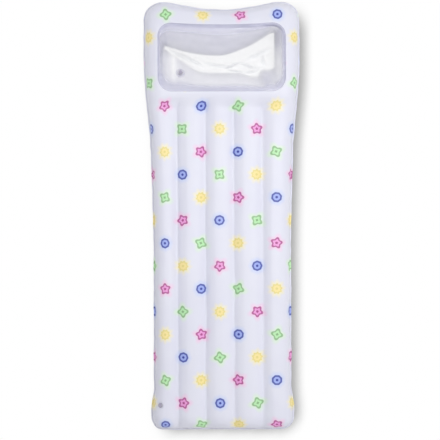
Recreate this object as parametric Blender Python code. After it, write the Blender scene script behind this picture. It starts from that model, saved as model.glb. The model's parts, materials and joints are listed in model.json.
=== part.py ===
"""Pool air mattress: five tubes with tie webs, a head ring round a clear window, two push-in valves.

It lies on the ground at z = 0 with its head end at +Y. The printed top skin and the plain bottom
skin are the same form, turned over. Metres throughout.
"""

import math

import bmesh
import bpy
from mathutils import Matrix, Vector

# Plan, measured to the outside of the welded edge
LENGTH = 1.770
HEAD_WIDTH = 0.644
BODY_WIDTH = 0.570
FOOT_WIDTH = 0.592
HEAD_CORNER = 0.075
FOOT_CORNER = 0.055
HEAD_DIP = 0.031
HEAD_DIP_REACH = 0.220
EDGE_WELD = 0.006

# Places along the mattress are distances from its head end or its foot end
HEAD_Y = LENGTH / 2
FOOT_Y = -LENGTH / 2
SHOULDER_FROM_HEAD = 0.255
NECK_FROM_HEAD = 0.620
WAIST_FROM_HEAD = 1.050
FLARE_FROM_FOOT = 0.185
FLARE_END_FROM_FOOT = 0.085

# Thickness when blown up
BODY_THICKNESS = 0.115
HEAD_THICKNESS = 0.128
SWELL_FROM_HEAD = 0.375
SWELL_END_FROM_HEAD = 0.445
SIDE_ROUND = 0.055

# Five tubes, parted by four valleys in which the tie webs are welded
TUBE_PITCH = 0.117
WEB_WELD = 0.008
VALLEY_DEPTH = 0.020
CHANNEL_FROM_HEAD = 0.395
CHANNEL_FULL_FROM_HEAD = 0.445
CREST_FLAT = 0.25
ARC_RADIUS = 1.40

# Window: the cut-out in both skins, the lap of the film under its edge, and the inner weld
WINDOW_WIDTH = 0.526
WINDOW_HEIGHT = 0.286
WINDOW_FROM_HEAD = 0.231
WINDOW_CORNER = 0.058
WINDOW_SAG = 0.012
FILM_LAP = 0.008

# Inner weld, as distances in from the cut-out's four sides
INNER_LEFT = 0.028
INNER_RIGHT = 0.046
INNER_TOP = 0.136
INNER_FOOT = 0.065
INNER_SAG_FROM_LEFT = 0.253
INNER_SAG_LEFT_RATE = 0.75
INNER_SAG_RIGHT_RATE = 1.80
INNER_CLIMB_FROM_LEFT = 0.213
INNER_CLIMB_RATE = 0.56
INNER_CLIMB_ROUND = 0.040

# Material thicknesses, and the gap left between two welded layers
SHEET = 0.0005
FILM = 0.0004
WEB = 0.0005
LAYER_GAP = 0.0003

# Tie webs and the bulkhead between the two air chambers
WEB_FROM_HEAD = 0.455
WEB_FROM_FOOT = 0.095

# Valve, in its own frame: z is outwards, 0 at the skin, and x points to the plug's hinge
FLANGE_RADIUS = 0.019
FLANGE_DISC = 0.0008
SLEEVE_BORE = 0.0083
SLEEVE_WALL = 0.0012
SLEEVE_RISE = 0.0015
SLEEVE_DEPTH = 0.0160
STEM_CLEARANCE = 0.0003
STEM_DEPTH = 0.0150
STEM_LIP = 0.0014
PLUG_BORE = 0.0048
PLUG_BORE_DEPTH = 0.0070
AIRWAY = 0.0036
CAP_RADIUS = 0.0070
CAP_HEIGHT = 0.0016
CAP_BEVEL = 0.0006
STOPPER_TOP_RADIUS = 0.0044
STOPPER_TIP_RADIUS = 0.0032
STOPPER_LENGTH = 0.0050
STRAP_WIDTH = 0.0050
STRAP_THICKNESS = 0.0012
HINGE_REACH = 0.0084
TAB_WIDTH = 0.0040
TAB_REACH = 0.0098
FLAP_RADIUS = 0.0062
FLAP_THICKNESS = 0.0008
FLAP_HINGE_REACH = 0.0048
CUTTER_REACH = 0.050
BODY_VALVE_FROM_SIDE = 0.038
BODY_VALVE_FROM_FOOT = 0.107
HEAD_VALVE_ALONG = -0.680
HEAD_VALVE_UP = 0.400

# Facets
EDGE_STEPS = 3
SLOPE_STEPS = 3
ROUND_SEGMENTS = 28
RAIL_ROWS = 6
SHOULDER_ROWS = 5
ARC_STEP = 0.65
SLOPE_STEP = 0.010
SLOPE_SHARE = 0.04

WHITE_VINYL = ("printed_vinyl", (0.84, 0.84, 0.90), 0.32)
PLAIN_VINYL = ("plain_vinyl", (0.82, 0.82, 0.86), 0.34)
CLEAR_FILM = ("clear_film", (0.74, 0.74, 0.82), 0.12)
WEB_VINYL = ("web_vinyl", (0.80, 0.80, 0.84), 0.45)
VALVE_CLEAR = ("valve_clear", (0.70, 0.70, 0.78), 0.20)
VALVE_PLUG = ("valve_plug", (0.20, 0.17, 0.28), 0.35)


def clear_scene():
    for old in list(bpy.data.objects):
        bpy.data.objects.remove(old, do_unlink=True)


def clamp(value):
    return min(max(value, 0.0), 1.0)


def smooth(value):
    t = clamp(value)
    return t * t * (3.0 - 2.0 * t)


def quarter_round(value):
    """Height of a quarter circle, from 0 at its foot to 1 at its crest."""
    return math.sqrt(1.0 - (1.0 - clamp(value)) ** 2)


def half_width(y):
    """Half the width at y: the head narrows fast to the neck, then slowly to the waist."""
    from_head = HEAD_Y - y
    neck = smooth((NECK_FROM_HEAD - from_head) / (NECK_FROM_HEAD - SHOULDER_FROM_HEAD))
    taper = smooth((WAIST_FROM_HEAD - from_head) / (WAIST_FROM_HEAD - SHOULDER_FROM_HEAD))
    head = (neck + taper) / 2
    foot = smooth((FLARE_FROM_FOOT + FOOT_Y - y) / (FLARE_FROM_FOOT - FLARE_END_FROM_FOOT))
    width = BODY_WIDTH + (HEAD_WIDTH - BODY_WIDTH) * head + (FOOT_WIDTH - BODY_WIDTH) * foot
    return width / 2


def head_edge(x):
    """y of the head end, which curves in at the middle."""
    across = clamp(abs(x) / HEAD_DIP_REACH)
    return HEAD_Y - HEAD_DIP * math.cos(math.pi / 2 * across)


def ends_at(x, y):
    """The nearer end's distance, and the corner radius there."""
    if y > 0:
        return head_edge(x) - y, HEAD_CORNER
    return y - FOOT_Y, FOOT_CORNER


def edge_distance(x, y):
    side = half_width(y) - abs(x)
    end, corner = ends_at(x, y)
    if side < corner and end < corner:
        return corner - math.hypot(corner - side, corner - end)
    return min(side, end)


def thickness(y):
    swell = smooth((SWELL_END_FROM_HEAD - HEAD_Y + y) / (SWELL_END_FROM_HEAD - SWELL_FROM_HEAD))
    return BODY_THICKNESS + (HEAD_THICKNESS - BODY_THICKNESS) * swell


def tube_arc(across):
    """Height of a tube's crown between two webs: 1 on the crest's flat, 0 at a weld's edge."""
    foot = math.sqrt(ARC_RADIUS**2 - 1.0)
    crest = math.sqrt(ARC_RADIUS**2 - CREST_FLAT**2)
    here = math.sqrt(ARC_RADIUS**2 - clamp(across) ** 2)
    return min((here - foot) / (crest - foot), 1.0)


def outer_crest(y):
    """x of the crest of the outermost tube."""
    return half_width(y) - EDGE_WELD - SIDE_ROUND


def outer_weld():
    """x of the outer edge of the outermost web's weld."""
    return 1.5 * TUBE_PITCH + WEB_WELD / 2


def valley(x, y):
    """How far the skin is drawn in towards a web, in metres."""
    across = abs(x)
    if across < 1.5 * TUBE_PITCH:
        centre = round(across / TUBE_PITCH) * TUBE_PITCH
        share = abs(across - centre) / ((TUBE_PITCH - WEB_WELD) / 2)
    else:
        share = (outer_crest(y) - across) / (outer_crest(y) - outer_weld())
    fade = smooth((HEAD_Y - CHANNEL_FROM_HEAD - y) / (CHANNEL_FULL_FROM_HEAD - CHANNEL_FROM_HEAD))
    return VALLEY_DEPTH * (1.0 - tube_arc(share)) * fade


def skin_height(x, y):
    """z of the top skin outside the window."""
    middle = thickness(y) / 2
    foot = LAYER_GAP / 2 + SHEET
    crown = middle - valley(x, y) - foot
    round_side = quarter_round((edge_distance(x, y) - EDGE_WELD) / SIDE_ROUND)
    return middle + foot + crown * round_side


def round_corner(a, b, radius):
    """Bends a square corner round: a and b are the distances from its two sides."""
    p = radius - a
    q = radius - b
    if p <= 0 or q <= 0:
        return a, b
    if p >= q:
        angle = math.pi / 4 * q / p
    else:
        angle = math.pi / 2 - math.pi / 4 * p / q
    reach = max(p, q)
    return radius - reach * math.cos(angle), radius - reach * math.sin(angle)


def window_point(across, up, lap):
    """A point on the cut-out's outline, or lap outside it. across or up is -1 or 1.

    Its upper side sags in the middle, as the head end above it does.
    """
    half_x = WINDOW_WIDTH / 2 + lap
    half_y = WINDOW_HEIGHT / 2 + lap
    side = half_x * (1.0 - abs(across))
    end = half_y * (1.0 - abs(up))
    side, end = round_corner(side, end, WINDOW_CORNER + lap)
    x = math.copysign(half_x - side, across)
    rise = math.copysign(half_y - end, up)
    sag = WINDOW_SAG * clamp(rise / half_y) * (1.0 - (x / half_x) ** 2)
    return x, HEAD_Y - WINDOW_FROM_HEAD + rise - sag


def inner_point(across, up):
    """The matching point on the inner weld: its upper side sags and its lower side climbs left."""
    x, y = window_point(across, up, 0.0)
    left = -WINDOW_WIDTH / 2
    low = HEAD_Y - WINDOW_FROM_HEAD - WINDOW_HEIGHT / 2
    share_x = (x - left) / WINDOW_WIDTH
    share_y = (y - low) / WINDOW_HEIGHT
    x = left + INNER_LEFT + (WINDOW_WIDTH - INNER_LEFT - INNER_RIGHT) * share_x
    past_sag = x - left - INNER_SAG_FROM_LEFT
    rate = INNER_SAG_RIGHT_RATE if past_sag > 0 else INNER_SAG_LEFT_RATE
    top = low + WINDOW_HEIGHT - INNER_TOP + rate * past_sag**2
    short = left + INNER_CLIMB_FROM_LEFT - x
    climb = (short + math.hypot(short, INNER_CLIMB_ROUND)) / 2
    foot = low + INNER_FOOT + INNER_CLIMB_RATE * climb
    return x, foot + (top - foot) * share_y


def film_point(across, up, climb):
    """A point on the clear slope, from 0 at the inner weld to 1 at the cut-out's edge."""
    outer = Vector(window_point(across, up, 0.0))
    inner = Vector(inner_point(across, up))
    x, y = inner.lerp(outer, climb)
    weld = thickness(y) / 2 + LAYER_GAP / 2 + FILM + LAYER_GAP + SHEET
    rim = skin_height(outer.x, outer.y)
    return Vector((x, y, weld + (rim - weld) * quarter_round(climb)))


def edge_offsets():
    """Distances from the outer edge: the weld, then steps up the round side."""
    steps = [0.0, EDGE_WELD]
    for step in range(1, EDGE_STEPS):
        steps.append(EDGE_WELD + SIDE_ROUND * (1.0 - math.cos(math.pi / 2 * step / EDGE_STEPS)))
    return steps


def columns(y):
    """x of every grid column at y, from left to right."""
    reach = (TUBE_PITCH - WEB_WELD) / 2
    arc = [CREST_FLAT * reach, ARC_STEP * reach, reach]
    right = list(arc)
    right += [TUBE_PITCH - step for step in reversed(arc)] + [TUBE_PITCH + step for step in arc]
    right += [outer_weld(), (outer_weld() + outer_crest(y)) / 2, outer_crest(y)]
    right += [half_width(y) - step for step in reversed(edge_offsets())]
    return [-x for x in reversed(right)] + right


def rows():
    """Every grid row, as its end (1 head, -1 foot) and distance from it, or 0 and its y."""
    found = [(1, step) for step in edge_offsets()]
    for row in range(RAIL_ROWS + 1):
        step = HEAD_CORNER + (CHANNEL_FROM_HEAD - HEAD_CORNER) * row / RAIL_ROWS
        found.append((0, HEAD_Y - step))
    for row in range(SHOULDER_ROWS + 1):
        step = CHANNEL_FULL_FROM_HEAD + (WAIST_FROM_HEAD - CHANNEL_FULL_FROM_HEAD) * row / SHOULDER_ROWS
        found.append((0, HEAD_Y - step))
    found.append((0, (HEAD_Y - WAIST_FROM_HEAD + FOOT_Y + FLARE_FROM_FOOT) / 2))
    found += [(0, FOOT_Y + FLARE_FROM_FOOT), (0, FOOT_Y + FLARE_END_FROM_FOOT)]
    found.append((-1, EDGE_WELD + SIDE_ROUND))
    found += [(-1, step) for step in reversed(edge_offsets())]
    return found


def plan_point(column, row):
    """x and y of a grid point, with the mattress's corners bent round."""
    end, value = row
    y = (value, HEAD_Y - value, FOOT_Y + value)[end]
    x = columns(y)[column]
    if end > 0:
        y = head_edge(x) - value
    side = half_width(y) - abs(x)
    end_distance, corner = ends_at(x, y)
    side, turned = round_corner(side, end_distance, corner)
    x = math.copysign(half_width(y) - side, x)
    y += (end_distance - turned) * math.copysign(1.0, y)
    return x, y


def perimeter(wide, high):
    """Square coordinates round the window, one for each point of the grid's hole."""
    points = [(-1 + 2 * i / wide, -1.0) for i in range(wide)]
    points += [(1.0, -1 + 2 * j / high) for j in range(high)]
    points += [(1 - 2 * i / wide, 1.0) for i in range(wide)]
    points += [(-1.0, 1 - 2 * j / high) for j in range(high)]
    return points


def skin(side):
    """The whole outer surface of one side, with each face's zone: 0 sheet, 1 lap, 2 film."""
    bm = bmesh.new()
    zone = bm.faces.layers.int.new("zone")
    grid_rows = rows()
    last = len(columns(0.0)) - 1
    hole_left = len(edge_offsets()) - 1
    hole_right = last - hole_left
    hole_top = len(edge_offsets()) - 1
    hole_foot = hole_top + RAIL_ROWS + 1

    def in_hole(column, row):
        return hole_left < column < hole_right and hole_top < row < hole_foot

    grid = {}
    for row in range(len(grid_rows)):
        for column in range(last + 1):
            if not in_hole(column, row):
                x, y = plan_point(column, grid_rows[row])
                grid[column, row] = bm.verts.new((x, y, skin_height(x, y)))
    for row in range(len(grid_rows) - 1):
        for column in range(last):
            if hole_left <= column < hole_right and hole_top <= row < hole_foot:
                continue
            corners = ((0, 1), (1, 1), (1, 0), (0, 0))
            bm.faces.new([grid[column + i, row + j] for i, j in corners])

    wide = hole_right - hole_left
    high = hole_foot - hole_top
    ring = [grid[hole_left + i, hole_foot] for i in range(wide)]
    ring += [grid[hole_right, hole_foot - j] for j in range(high)]
    ring += [grid[hole_right - i, hole_top] for i in range(wide)]
    ring += [grid[hole_left, hole_top + j] for j in range(high)]
    around = perimeter(wide, high)
    for lap, made_zone in ((FILM_LAP, 0), (0.0, 1)):
        plan = [window_point(across, up, lap) for across, up in around]
        inner = [bm.verts.new((x, y, skin_height(x, y))) for x, y in plan]
        join_rings(bm, ring, inner, zone, made_zone)
        ring = inner
    for step in range(1, SLOPE_STEPS + 1):
        climb = 1.0 - math.sin(math.pi / 2 * step / SLOPE_STEPS)
        inner = [bm.verts.new(film_point(across, up, climb)) for across, up in around]
        join_rings(bm, ring, inner, zone, 2)
        ring = inner
    bm.faces.new(ring)[zone] = 2
    quads = [face for face in bm.faces if len(face.verts) == 4]
    bmesh.ops.triangulate(bm, faces=quads, quad_method="FIXED")

    if side < 0:
        for vert in bm.verts:
            vert.co.z = thickness(vert.co.y) - vert.co.z
        bmesh.ops.reverse_faces(bm, faces=bm.faces[:])
    bm.normal_update()
    return bm


def join_rings(bm, outer, inner, layer, zone):
    count = len(outer)
    for i in range(count):
        following = (i + 1) % count
        face = bm.faces.new((outer[i], outer[following], inner[following], inner[i]))
        face[layer] = zone


def finish_object(name, bm, finish):
    mesh = bpy.data.meshes.new(name)
    bm.to_mesh(mesh)
    bm.free()
    obj = bpy.data.objects.new(name, mesh)
    bpy.context.collection.objects.link(obj)
    slot_name, colour, roughness = finish
    material = bpy.data.materials.get(slot_name) or bpy.data.materials.new(slot_name)
    material.use_nodes = True
    shader = material.node_tree.nodes["Principled BSDF"]
    shader.inputs["Base Color"].default_value = (*colour, 1.0)
    shader.inputs["Roughness"].default_value = roughness
    mesh.materials.append(material)
    mesh.shade_smooth()
    mesh.set_sharp_from_angle(angle=math.radians(35))
    return obj


def shell(name, side, zones, near, far, finish):
    """A layer of one side's skin, from near to far below its surface."""
    bm = skin(side)
    zone = bm.faces.layers.int["zone"]
    inward = bm.verts.layers.float_vector.new("inward")
    for vert in bm.verts:
        vert[inward] = -vert.normal * vert.calc_shell_factor()
    spare = [face for face in bm.faces if face[zone] not in zones]
    bmesh.ops.delete(bm, geom=spare, context="FACES")
    outer = list(bm.verts)
    made = bmesh.ops.extrude_face_region(bm, geom=bm.faces[:], use_keep_orig=True)
    inner = [part for part in made["geom"] if isinstance(part, bmesh.types.BMVert)]
    for vert in outer:
        vert.co += Vector(vert[inward]) * near
    for vert in inner:
        vert.co += Vector(vert[inward]) * far
    bmesh.ops.recalc_face_normals(bm, faces=bm.faces[:])
    return finish_object(name, bm, finish)


def helper(obj):
    obj.hide_render = True
    obj.display_type = "WIRE"
    return obj


def combine(obj, tool, operation):
    modifier = obj.modifiers.new(tool.name, "BOOLEAN")
    modifier.operation = operation
    modifier.solver = "EXACT"
    modifier.object = helper(tool)


def turned(name, profile, finish, place):
    """A body of revolution about its own z, from a closed profile of radius and height."""
    bm = bmesh.new()
    verts = [bm.verts.new((radius, 0.0, z)) for radius, z in profile]
    edges = [bm.edges.new((verts[i - 1], verts[i])) for i in range(len(verts))]
    bmesh.ops.spin(
        bm,
        geom=verts + edges,
        cent=(0, 0, 0),
        axis=(0, 0, 1),
        angle=math.tau,
        steps=ROUND_SEGMENTS,
        use_merge=True,
    )
    bmesh.ops.remove_doubles(bm, verts=bm.verts[:], dist=1e-6)
    bmesh.ops.dissolve_degenerate(bm, edges=bm.edges[:], dist=1e-6)
    bmesh.ops.recalc_face_normals(bm, faces=bm.faces[:])
    obj = finish_object(name, bm, finish)
    obj.matrix_world = place
    return obj


def block(name, low, high, finish, place):
    bm = bmesh.new()
    size = Vector(high) - Vector(low)
    centre = (Vector(high) + Vector(low)) / 2
    bmesh.ops.create_cube(bm, size=1.0, matrix=Matrix.Translation(centre) @ Matrix.Diagonal((*size, 1)))
    obj = finish_object(name, bm, finish)
    obj.matrix_world = place
    return obj


def rod(name, radius, low, high, finish, place):
    """A solid cylinder along its own z."""
    bm = bmesh.new()
    bmesh.ops.create_cone(
        bm,
        cap_ends=True,
        segments=ROUND_SEGMENTS,
        radius1=radius,
        radius2=radius,
        depth=high - low,
        matrix=Matrix.Translation((0, 0, (low + high) / 2)),
    )
    obj = finish_object(name, bm, finish)
    obj.matrix_world = place
    return obj


def tie_web(name, x):
    """A strip with a weld tab along each long edge: an I in section."""
    tab = WEB_WELD / 2
    web = WEB / 2
    top = skin_height(x, 0.0) - SHEET - LAYER_GAP
    foot = BODY_THICKNESS - top
    outline = [(tab, top), (-tab, top), (-tab, top - WEB), (-web, top - WEB)]
    outline += [(-web, foot + WEB), (-tab, foot + WEB), (-tab, foot), (tab, foot)]
    outline += [(tab, foot + WEB), (web, foot + WEB), (web, top - WEB), (tab, top - WEB)]
    low = FOOT_Y + WEB_FROM_FOOT
    high = HEAD_Y - WEB_FROM_HEAD
    bm = bmesh.new()
    face = bm.faces.new([bm.verts.new((x + across, low, z)) for across, z in outline])
    made = bmesh.ops.extrude_face_region(bm, geom=[face], use_keep_orig=True)
    moved = [part for part in made["geom"] if isinstance(part, bmesh.types.BMVert)]
    bmesh.ops.translate(bm, verts=moved, vec=(0.0, high - low, 0.0))
    bmesh.ops.recalc_face_normals(bm, faces=bm.faces[:])
    return finish_object(name, bm, WEB_VINYL)


def head_bulkhead():
    """A strip across the mattress, cut to the inside of both skins at the tubes' head ends."""
    inset = SHEET + LAYER_GAP
    y = HEAD_Y - CHANNEL_FROM_HEAD
    outline = []
    for side in (1, -1):
        bm = skin(side)
        row = [v for v in bm.verts if abs(v.co.y - y) < 1e-6]
        row = [v for v in row if edge_distance(v.co.x, v.co.y) > EDGE_WELD - 1e-6]
        row.sort(key=lambda v: v.co.x * side)
        for vert in row:
            sunk = vert.co - vert.normal * vert.calc_shell_factor() * inset
            outline.append((sunk.x, sunk.z))
        bm.free()
    bm = bmesh.new()
    face = bm.faces.new([bm.verts.new((x, y - WEB / 2, z)) for x, z in outline])
    made = bmesh.ops.extrude_face_region(bm, geom=[face], use_keep_orig=True)
    moved = [part for part in made["geom"] if isinstance(part, bmesh.types.BMVert)]
    bmesh.ops.translate(bm, verts=moved, vec=(0.0, WEB, 0.0))
    bmesh.ops.recalc_face_normals(bm, faces=bm.faces[:])
    return finish_object("head_bulkhead", bm, WEB_VINYL)


def frame_on(point, normal):
    """A frame with z along the normal and x towards the foot end."""
    z = normal.normalized()
    x = Vector((0, -1, 0)) - z * z.dot(Vector((0, -1, 0)))
    x.normalize()
    y = z.cross(x)
    turn = Matrix((x, y, z)).transposed().to_4x4()
    return Matrix.Translation(point) @ turn


def body_valve_frame():
    y = FOOT_Y + BODY_VALVE_FROM_FOOT
    x = BODY_VALVE_FROM_SIDE - half_width(y)
    step = SLOPE_STEP
    slope_x = (skin_height(x + step, y) - skin_height(x - step, y)) / (2 * step)
    slope_y = (skin_height(x, y + step) - skin_height(x, y - step)) / (2 * step)
    return frame_on(Vector((x, y, skin_height(x, y))), Vector((-slope_x, -slope_y, 1.0)))


def head_valve_frame():
    along, up, step = HEAD_VALVE_ALONG, HEAD_VALVE_UP, SLOPE_SHARE
    here = film_point(along, -1.0, up)
    across = film_point(along + step, -1.0, up) - film_point(along - step, -1.0, up)
    climb = film_point(along, -1.0, up + step) - film_point(along, -1.0, up - step)
    normal = across.cross(climb)
    normal *= math.copysign(1.0, normal.z)
    sunk = here - normal.normalized() * (SHEET + LAYER_GAP)
    return frame_on(sunk, normal)


def valve(prefix, place, covers, disc_depth):
    """One push-in valve at place, set in the layers named in covers."""
    sleeve_radius = SLEEVE_BORE + SLEEVE_WALL
    stem_radius = SLEEVE_BORE - STEM_CLEARANCE
    lip_foot = SLEEVE_RISE + LAYER_GAP
    lip_top = lip_foot + STEM_LIP
    cap_foot = lip_top + LAYER_GAP
    hinge_z = cap_foot + STRAP_THICKNESS / 2
    near, far = -CUTTER_REACH / 2, CUTTER_REACH / 2
    clear, soft = VALVE_CLEAR, VALVE_PLUG

    for cover in covers:
        hole = rod(f"{cover.name}_valve_hole", sleeve_radius + LAYER_GAP, near, far, clear, place)
        combine(cover, hole, "DIFFERENCE")

    flange = shell(f"{prefix}_flange", 1, (0, 1, 2), disc_depth, disc_depth + FLANGE_DISC, clear)
    disc_edge = rod(f"{prefix}_disc_edge", FLANGE_RADIUS, near, far, clear, place)
    combine(flange, disc_edge, "INTERSECT")
    sleeve = rod(f"{prefix}_sleeve", sleeve_radius, -SLEEVE_DEPTH, SLEEVE_RISE, clear, place)
    combine(flange, sleeve, "UNION")
    bore = rod(f"{prefix}_sleeve_bore", SLEEVE_BORE, near, far, clear, place)
    combine(flange, bore, "DIFFERENCE")

    profile = [
        (AIRWAY, -STEM_DEPTH),
        (stem_radius, -STEM_DEPTH),
        (stem_radius, lip_foot),
        (sleeve_radius, lip_foot),
        (sleeve_radius, lip_top),
        (PLUG_BORE, lip_top),
        (PLUG_BORE, lip_top - PLUG_BORE_DEPTH),
        (AIRWAY, lip_top - PLUG_BORE_DEPTH),
    ]
    turned(f"{prefix}_stem", profile, clear, place)

    cap_top = cap_foot + CAP_HEIGHT
    profile = [
        (0.0, cap_foot - STOPPER_LENGTH),
        (STOPPER_TIP_RADIUS, cap_foot - STOPPER_LENGTH),
        (STOPPER_TOP_RADIUS, cap_foot),
        (CAP_RADIUS, cap_foot),
        (CAP_RADIUS, cap_top - CAP_BEVEL),
        (CAP_RADIUS - CAP_BEVEL, cap_top),
        (0.0, cap_top),
    ]
    plug = turned(f"{prefix}_plug", profile, soft, place)
    strap_top = cap_foot + STRAP_THICKNESS
    low = (CAP_RADIUS - CAP_HEIGHT, -STRAP_WIDTH / 2, cap_foot)
    high = (HINGE_REACH, STRAP_WIDTH / 2, strap_top)
    combine(plug, block(f"{prefix}_strap", low, high, soft, place), "UNION")
    hinge = place @ Matrix.Translation((HINGE_REACH, 0, hinge_z))
    across = hinge @ Matrix.Rotation(math.pi / 2, 4, "X")
    low, high = -STRAP_WIDTH / 2, STRAP_WIDTH / 2
    knuckle = rod(f"{prefix}_knuckle", STRAP_THICKNESS / 2, low, high, soft, across)
    combine(plug, knuckle, "UNION")
    low = (-TAB_REACH, -TAB_WIDTH / 2, cap_foot)
    high = (CAP_HEIGHT - CAP_RADIUS, TAB_WIDTH / 2, strap_top)
    combine(plug, block(f"{prefix}_tab", low, high, soft, place), "UNION")
    on_axis(plug, hinge)

    flap_top = -STEM_DEPTH - LAYER_GAP
    flap = rod(f"{prefix}_flap", FLAP_RADIUS, flap_top - FLAP_THICKNESS, flap_top, clear, place)
    bm = bmesh.new()
    bm.from_mesh(flap.data)
    cut = bmesh.ops.bisect_plane(
        bm,
        geom=bm.verts[:] + bm.edges[:] + bm.faces[:],
        plane_co=(FLAP_HINGE_REACH, 0, 0),
        plane_no=(1, 0, 0),
        clear_outer=True,
    )
    edges = [part for part in cut["geom_cut"] if isinstance(part, bmesh.types.BMEdge)]
    bmesh.ops.edgenet_fill(bm, edges=edges)
    bmesh.ops.recalc_face_normals(bm, faces=bm.faces[:])
    bm.to_mesh(flap.data)
    bm.free()
    on_axis(flap, place @ Matrix.Translation((FLAP_HINGE_REACH, 0, flap_top)))


def on_axis(obj, place):
    """Moves an object's origin to place, with its shape left where it is."""
    obj.data.transform(place.inverted() @ obj.matrix_world)
    obj.matrix_world = place


def main():
    clear_scene()
    top = shell("top_sheet", 1, (0, 1), 0.0, SHEET, WHITE_VINYL)
    shell("bottom_sheet", -1, (0, 1), 0.0, SHEET, PLAIN_VINYL)
    film_near = SHEET + LAYER_GAP
    window = shell("window_top_film", 1, (1, 2), film_near, film_near + FILM, CLEAR_FILM)
    shell("window_bottom_film", -1, (1, 2), film_near, film_near + FILM, CLEAR_FILM)
    for number, place in enumerate((-1.5, -0.5, 0.5, 1.5), start=1):
        tie_web(f"tie_web_{number}", place * TUBE_PITCH)
    head_bulkhead()
    valve("body_valve", body_valve_frame(), [top], SHEET + LAYER_GAP)
    valve("head_valve", head_valve_frame(), [window], film_near + FILM + LAYER_GAP)


main()
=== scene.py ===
"""Pool air mattress: printed and plain skins, a clear window, tie webs and two push-in valves.

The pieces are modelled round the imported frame, in metres, with the head end at +Y and the ground at z = 0.
"""

import json
import math

import bmesh
import bpy
from bpy.props import FloatProperty, FloatVectorProperty, PointerProperty
from bpy.types import Operator, Panel, PropertyGroup
from mathutils import Matrix, Vector, noise


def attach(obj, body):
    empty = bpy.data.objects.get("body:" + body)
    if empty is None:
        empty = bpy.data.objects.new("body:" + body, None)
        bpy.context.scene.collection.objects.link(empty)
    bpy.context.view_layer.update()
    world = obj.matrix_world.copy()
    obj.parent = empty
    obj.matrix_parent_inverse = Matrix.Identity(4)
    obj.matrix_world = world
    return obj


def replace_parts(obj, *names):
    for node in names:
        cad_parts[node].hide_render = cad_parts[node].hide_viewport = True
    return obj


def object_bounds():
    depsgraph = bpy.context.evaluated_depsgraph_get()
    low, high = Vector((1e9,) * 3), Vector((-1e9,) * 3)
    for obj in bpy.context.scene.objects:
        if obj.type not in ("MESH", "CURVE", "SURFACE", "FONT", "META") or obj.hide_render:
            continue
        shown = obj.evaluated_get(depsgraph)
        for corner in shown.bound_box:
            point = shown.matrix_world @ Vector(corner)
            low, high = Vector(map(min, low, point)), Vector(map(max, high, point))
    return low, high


bl_info = {
    "name": "Pool Air Mattress",
    "version": (1, 0, 0),
    "blender": (4, 5, 0),
    "location": "View3D > Sidebar > Mattress",
    "description": "Models a blown-up pool air mattress with a clear window and push-in valves",
    "category": "Object",
}

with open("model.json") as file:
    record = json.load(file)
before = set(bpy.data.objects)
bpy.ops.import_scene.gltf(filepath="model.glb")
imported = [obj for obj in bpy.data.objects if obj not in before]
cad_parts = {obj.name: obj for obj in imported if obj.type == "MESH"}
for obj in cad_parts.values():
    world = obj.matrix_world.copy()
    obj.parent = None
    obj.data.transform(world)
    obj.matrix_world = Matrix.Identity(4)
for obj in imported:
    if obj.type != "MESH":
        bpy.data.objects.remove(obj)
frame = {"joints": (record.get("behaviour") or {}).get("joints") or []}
CAD_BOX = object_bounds()
ROOT = "mattress"

# Outline and thickness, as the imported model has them
HEAD_Y = CAD_BOX[1].y
FOOT_Y = CAD_BOX[0].y
HEAD_CORNER = 0.075
FOOT_CORNER = 0.055
HEAD_DIP = 0.031
HEAD_DIP_REACH = 0.220
EDGE_WELD = 0.006
SHOULDER_FROM_HEAD = 0.255
NECK_FROM_HEAD = 0.620
WAIST_FROM_HEAD = 1.050
FLARE_FROM_FOOT = 0.185
FLARE_END_FROM_FOOT = 0.085
SWELL_FROM_HEAD = 0.375
SWELL_END_FROM_HEAD = 0.445
SIDE_ROUND = 0.055

# Tubes
WEB_WELD = 0.008
CHANNEL_FROM_HEAD = 0.395
CHANNEL_FULL_FROM_HEAD = 0.445
CREST_FLAT = 0.25
ARC_RADIUS = 1.40
WEB_FROM_HEAD = 0.455
WEB_FROM_FOOT = 0.095

# Window and its inner weld
WINDOW_FROM_HEAD = 0.231
WINDOW_CORNER = 0.058
WINDOW_SAG = 0.012
FILM_LAP = 0.008
INNER_LEFT = 0.028
INNER_RIGHT = 0.046
INNER_TOP = 0.131
INNER_FOOT = 0.080
INNER_DART = 0.017
INNER_NOTCH = 0.030
INNER_SAG_FROM_LEFT = 0.253
INNER_SAG_LEFT_RATE = 0.75
INNER_SAG_RIGHT_RATE = 0.93
INNER_CLIMB_FROM_LEFT = 0.169
INNER_CLIMB_RATE = 0.70
INNER_CLIMB_ROUND = 0.024
INNER_CORNER = 0.026

# Layers
SHEET = 0.0005
FILM = 0.0004
WEB = 0.0005
LAYER_GAP = 0.0003

# The blown-up tubes lie a little to the left of the outline's middle
TUBE_DRIFT = 0.011
WELD_WOBBLE = 0.003

# Relief of the skins: gathers at the seams, slow waves between them, and a lumpy outline
FINE_REACH = 0.014
BROAD_REACH = 0.036
GATHER_RISE = 0.009
STRAIGHT_CALM = 0.55
VALLEY_GATHER = 0.42
RIM_GATHER = 0.45
SLOW_WAVE = 0.0011
EDGE_RIPPLE = 0.0011
EDGE_LUMP = 0.0024
TOP_SEED = 0.0
BOTTOM_SEED = 40.0

# Film: its flat cut, its folds, and how much it hides, as painted shade on the slope and at the rim and as
# haze in the middle
SLOPE_FOLD = 0.0024
SLACK_WAVE = 0.0013
SLACK_CRINKLE = 0.0007
# Painted shade: denser, so darker, film on the slope, more on the head side than on the foot side, and more
# at the rim
SLOPE_SHADE_HEAD = 0.22
SLOPE_SHADE_FOOT = 0.13
RIM_SHADE = 0.40
SLACK_DENSITY = 0.11
# Painted shade along the slack film's creases
CREASE_SHADE = 44.0

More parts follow.
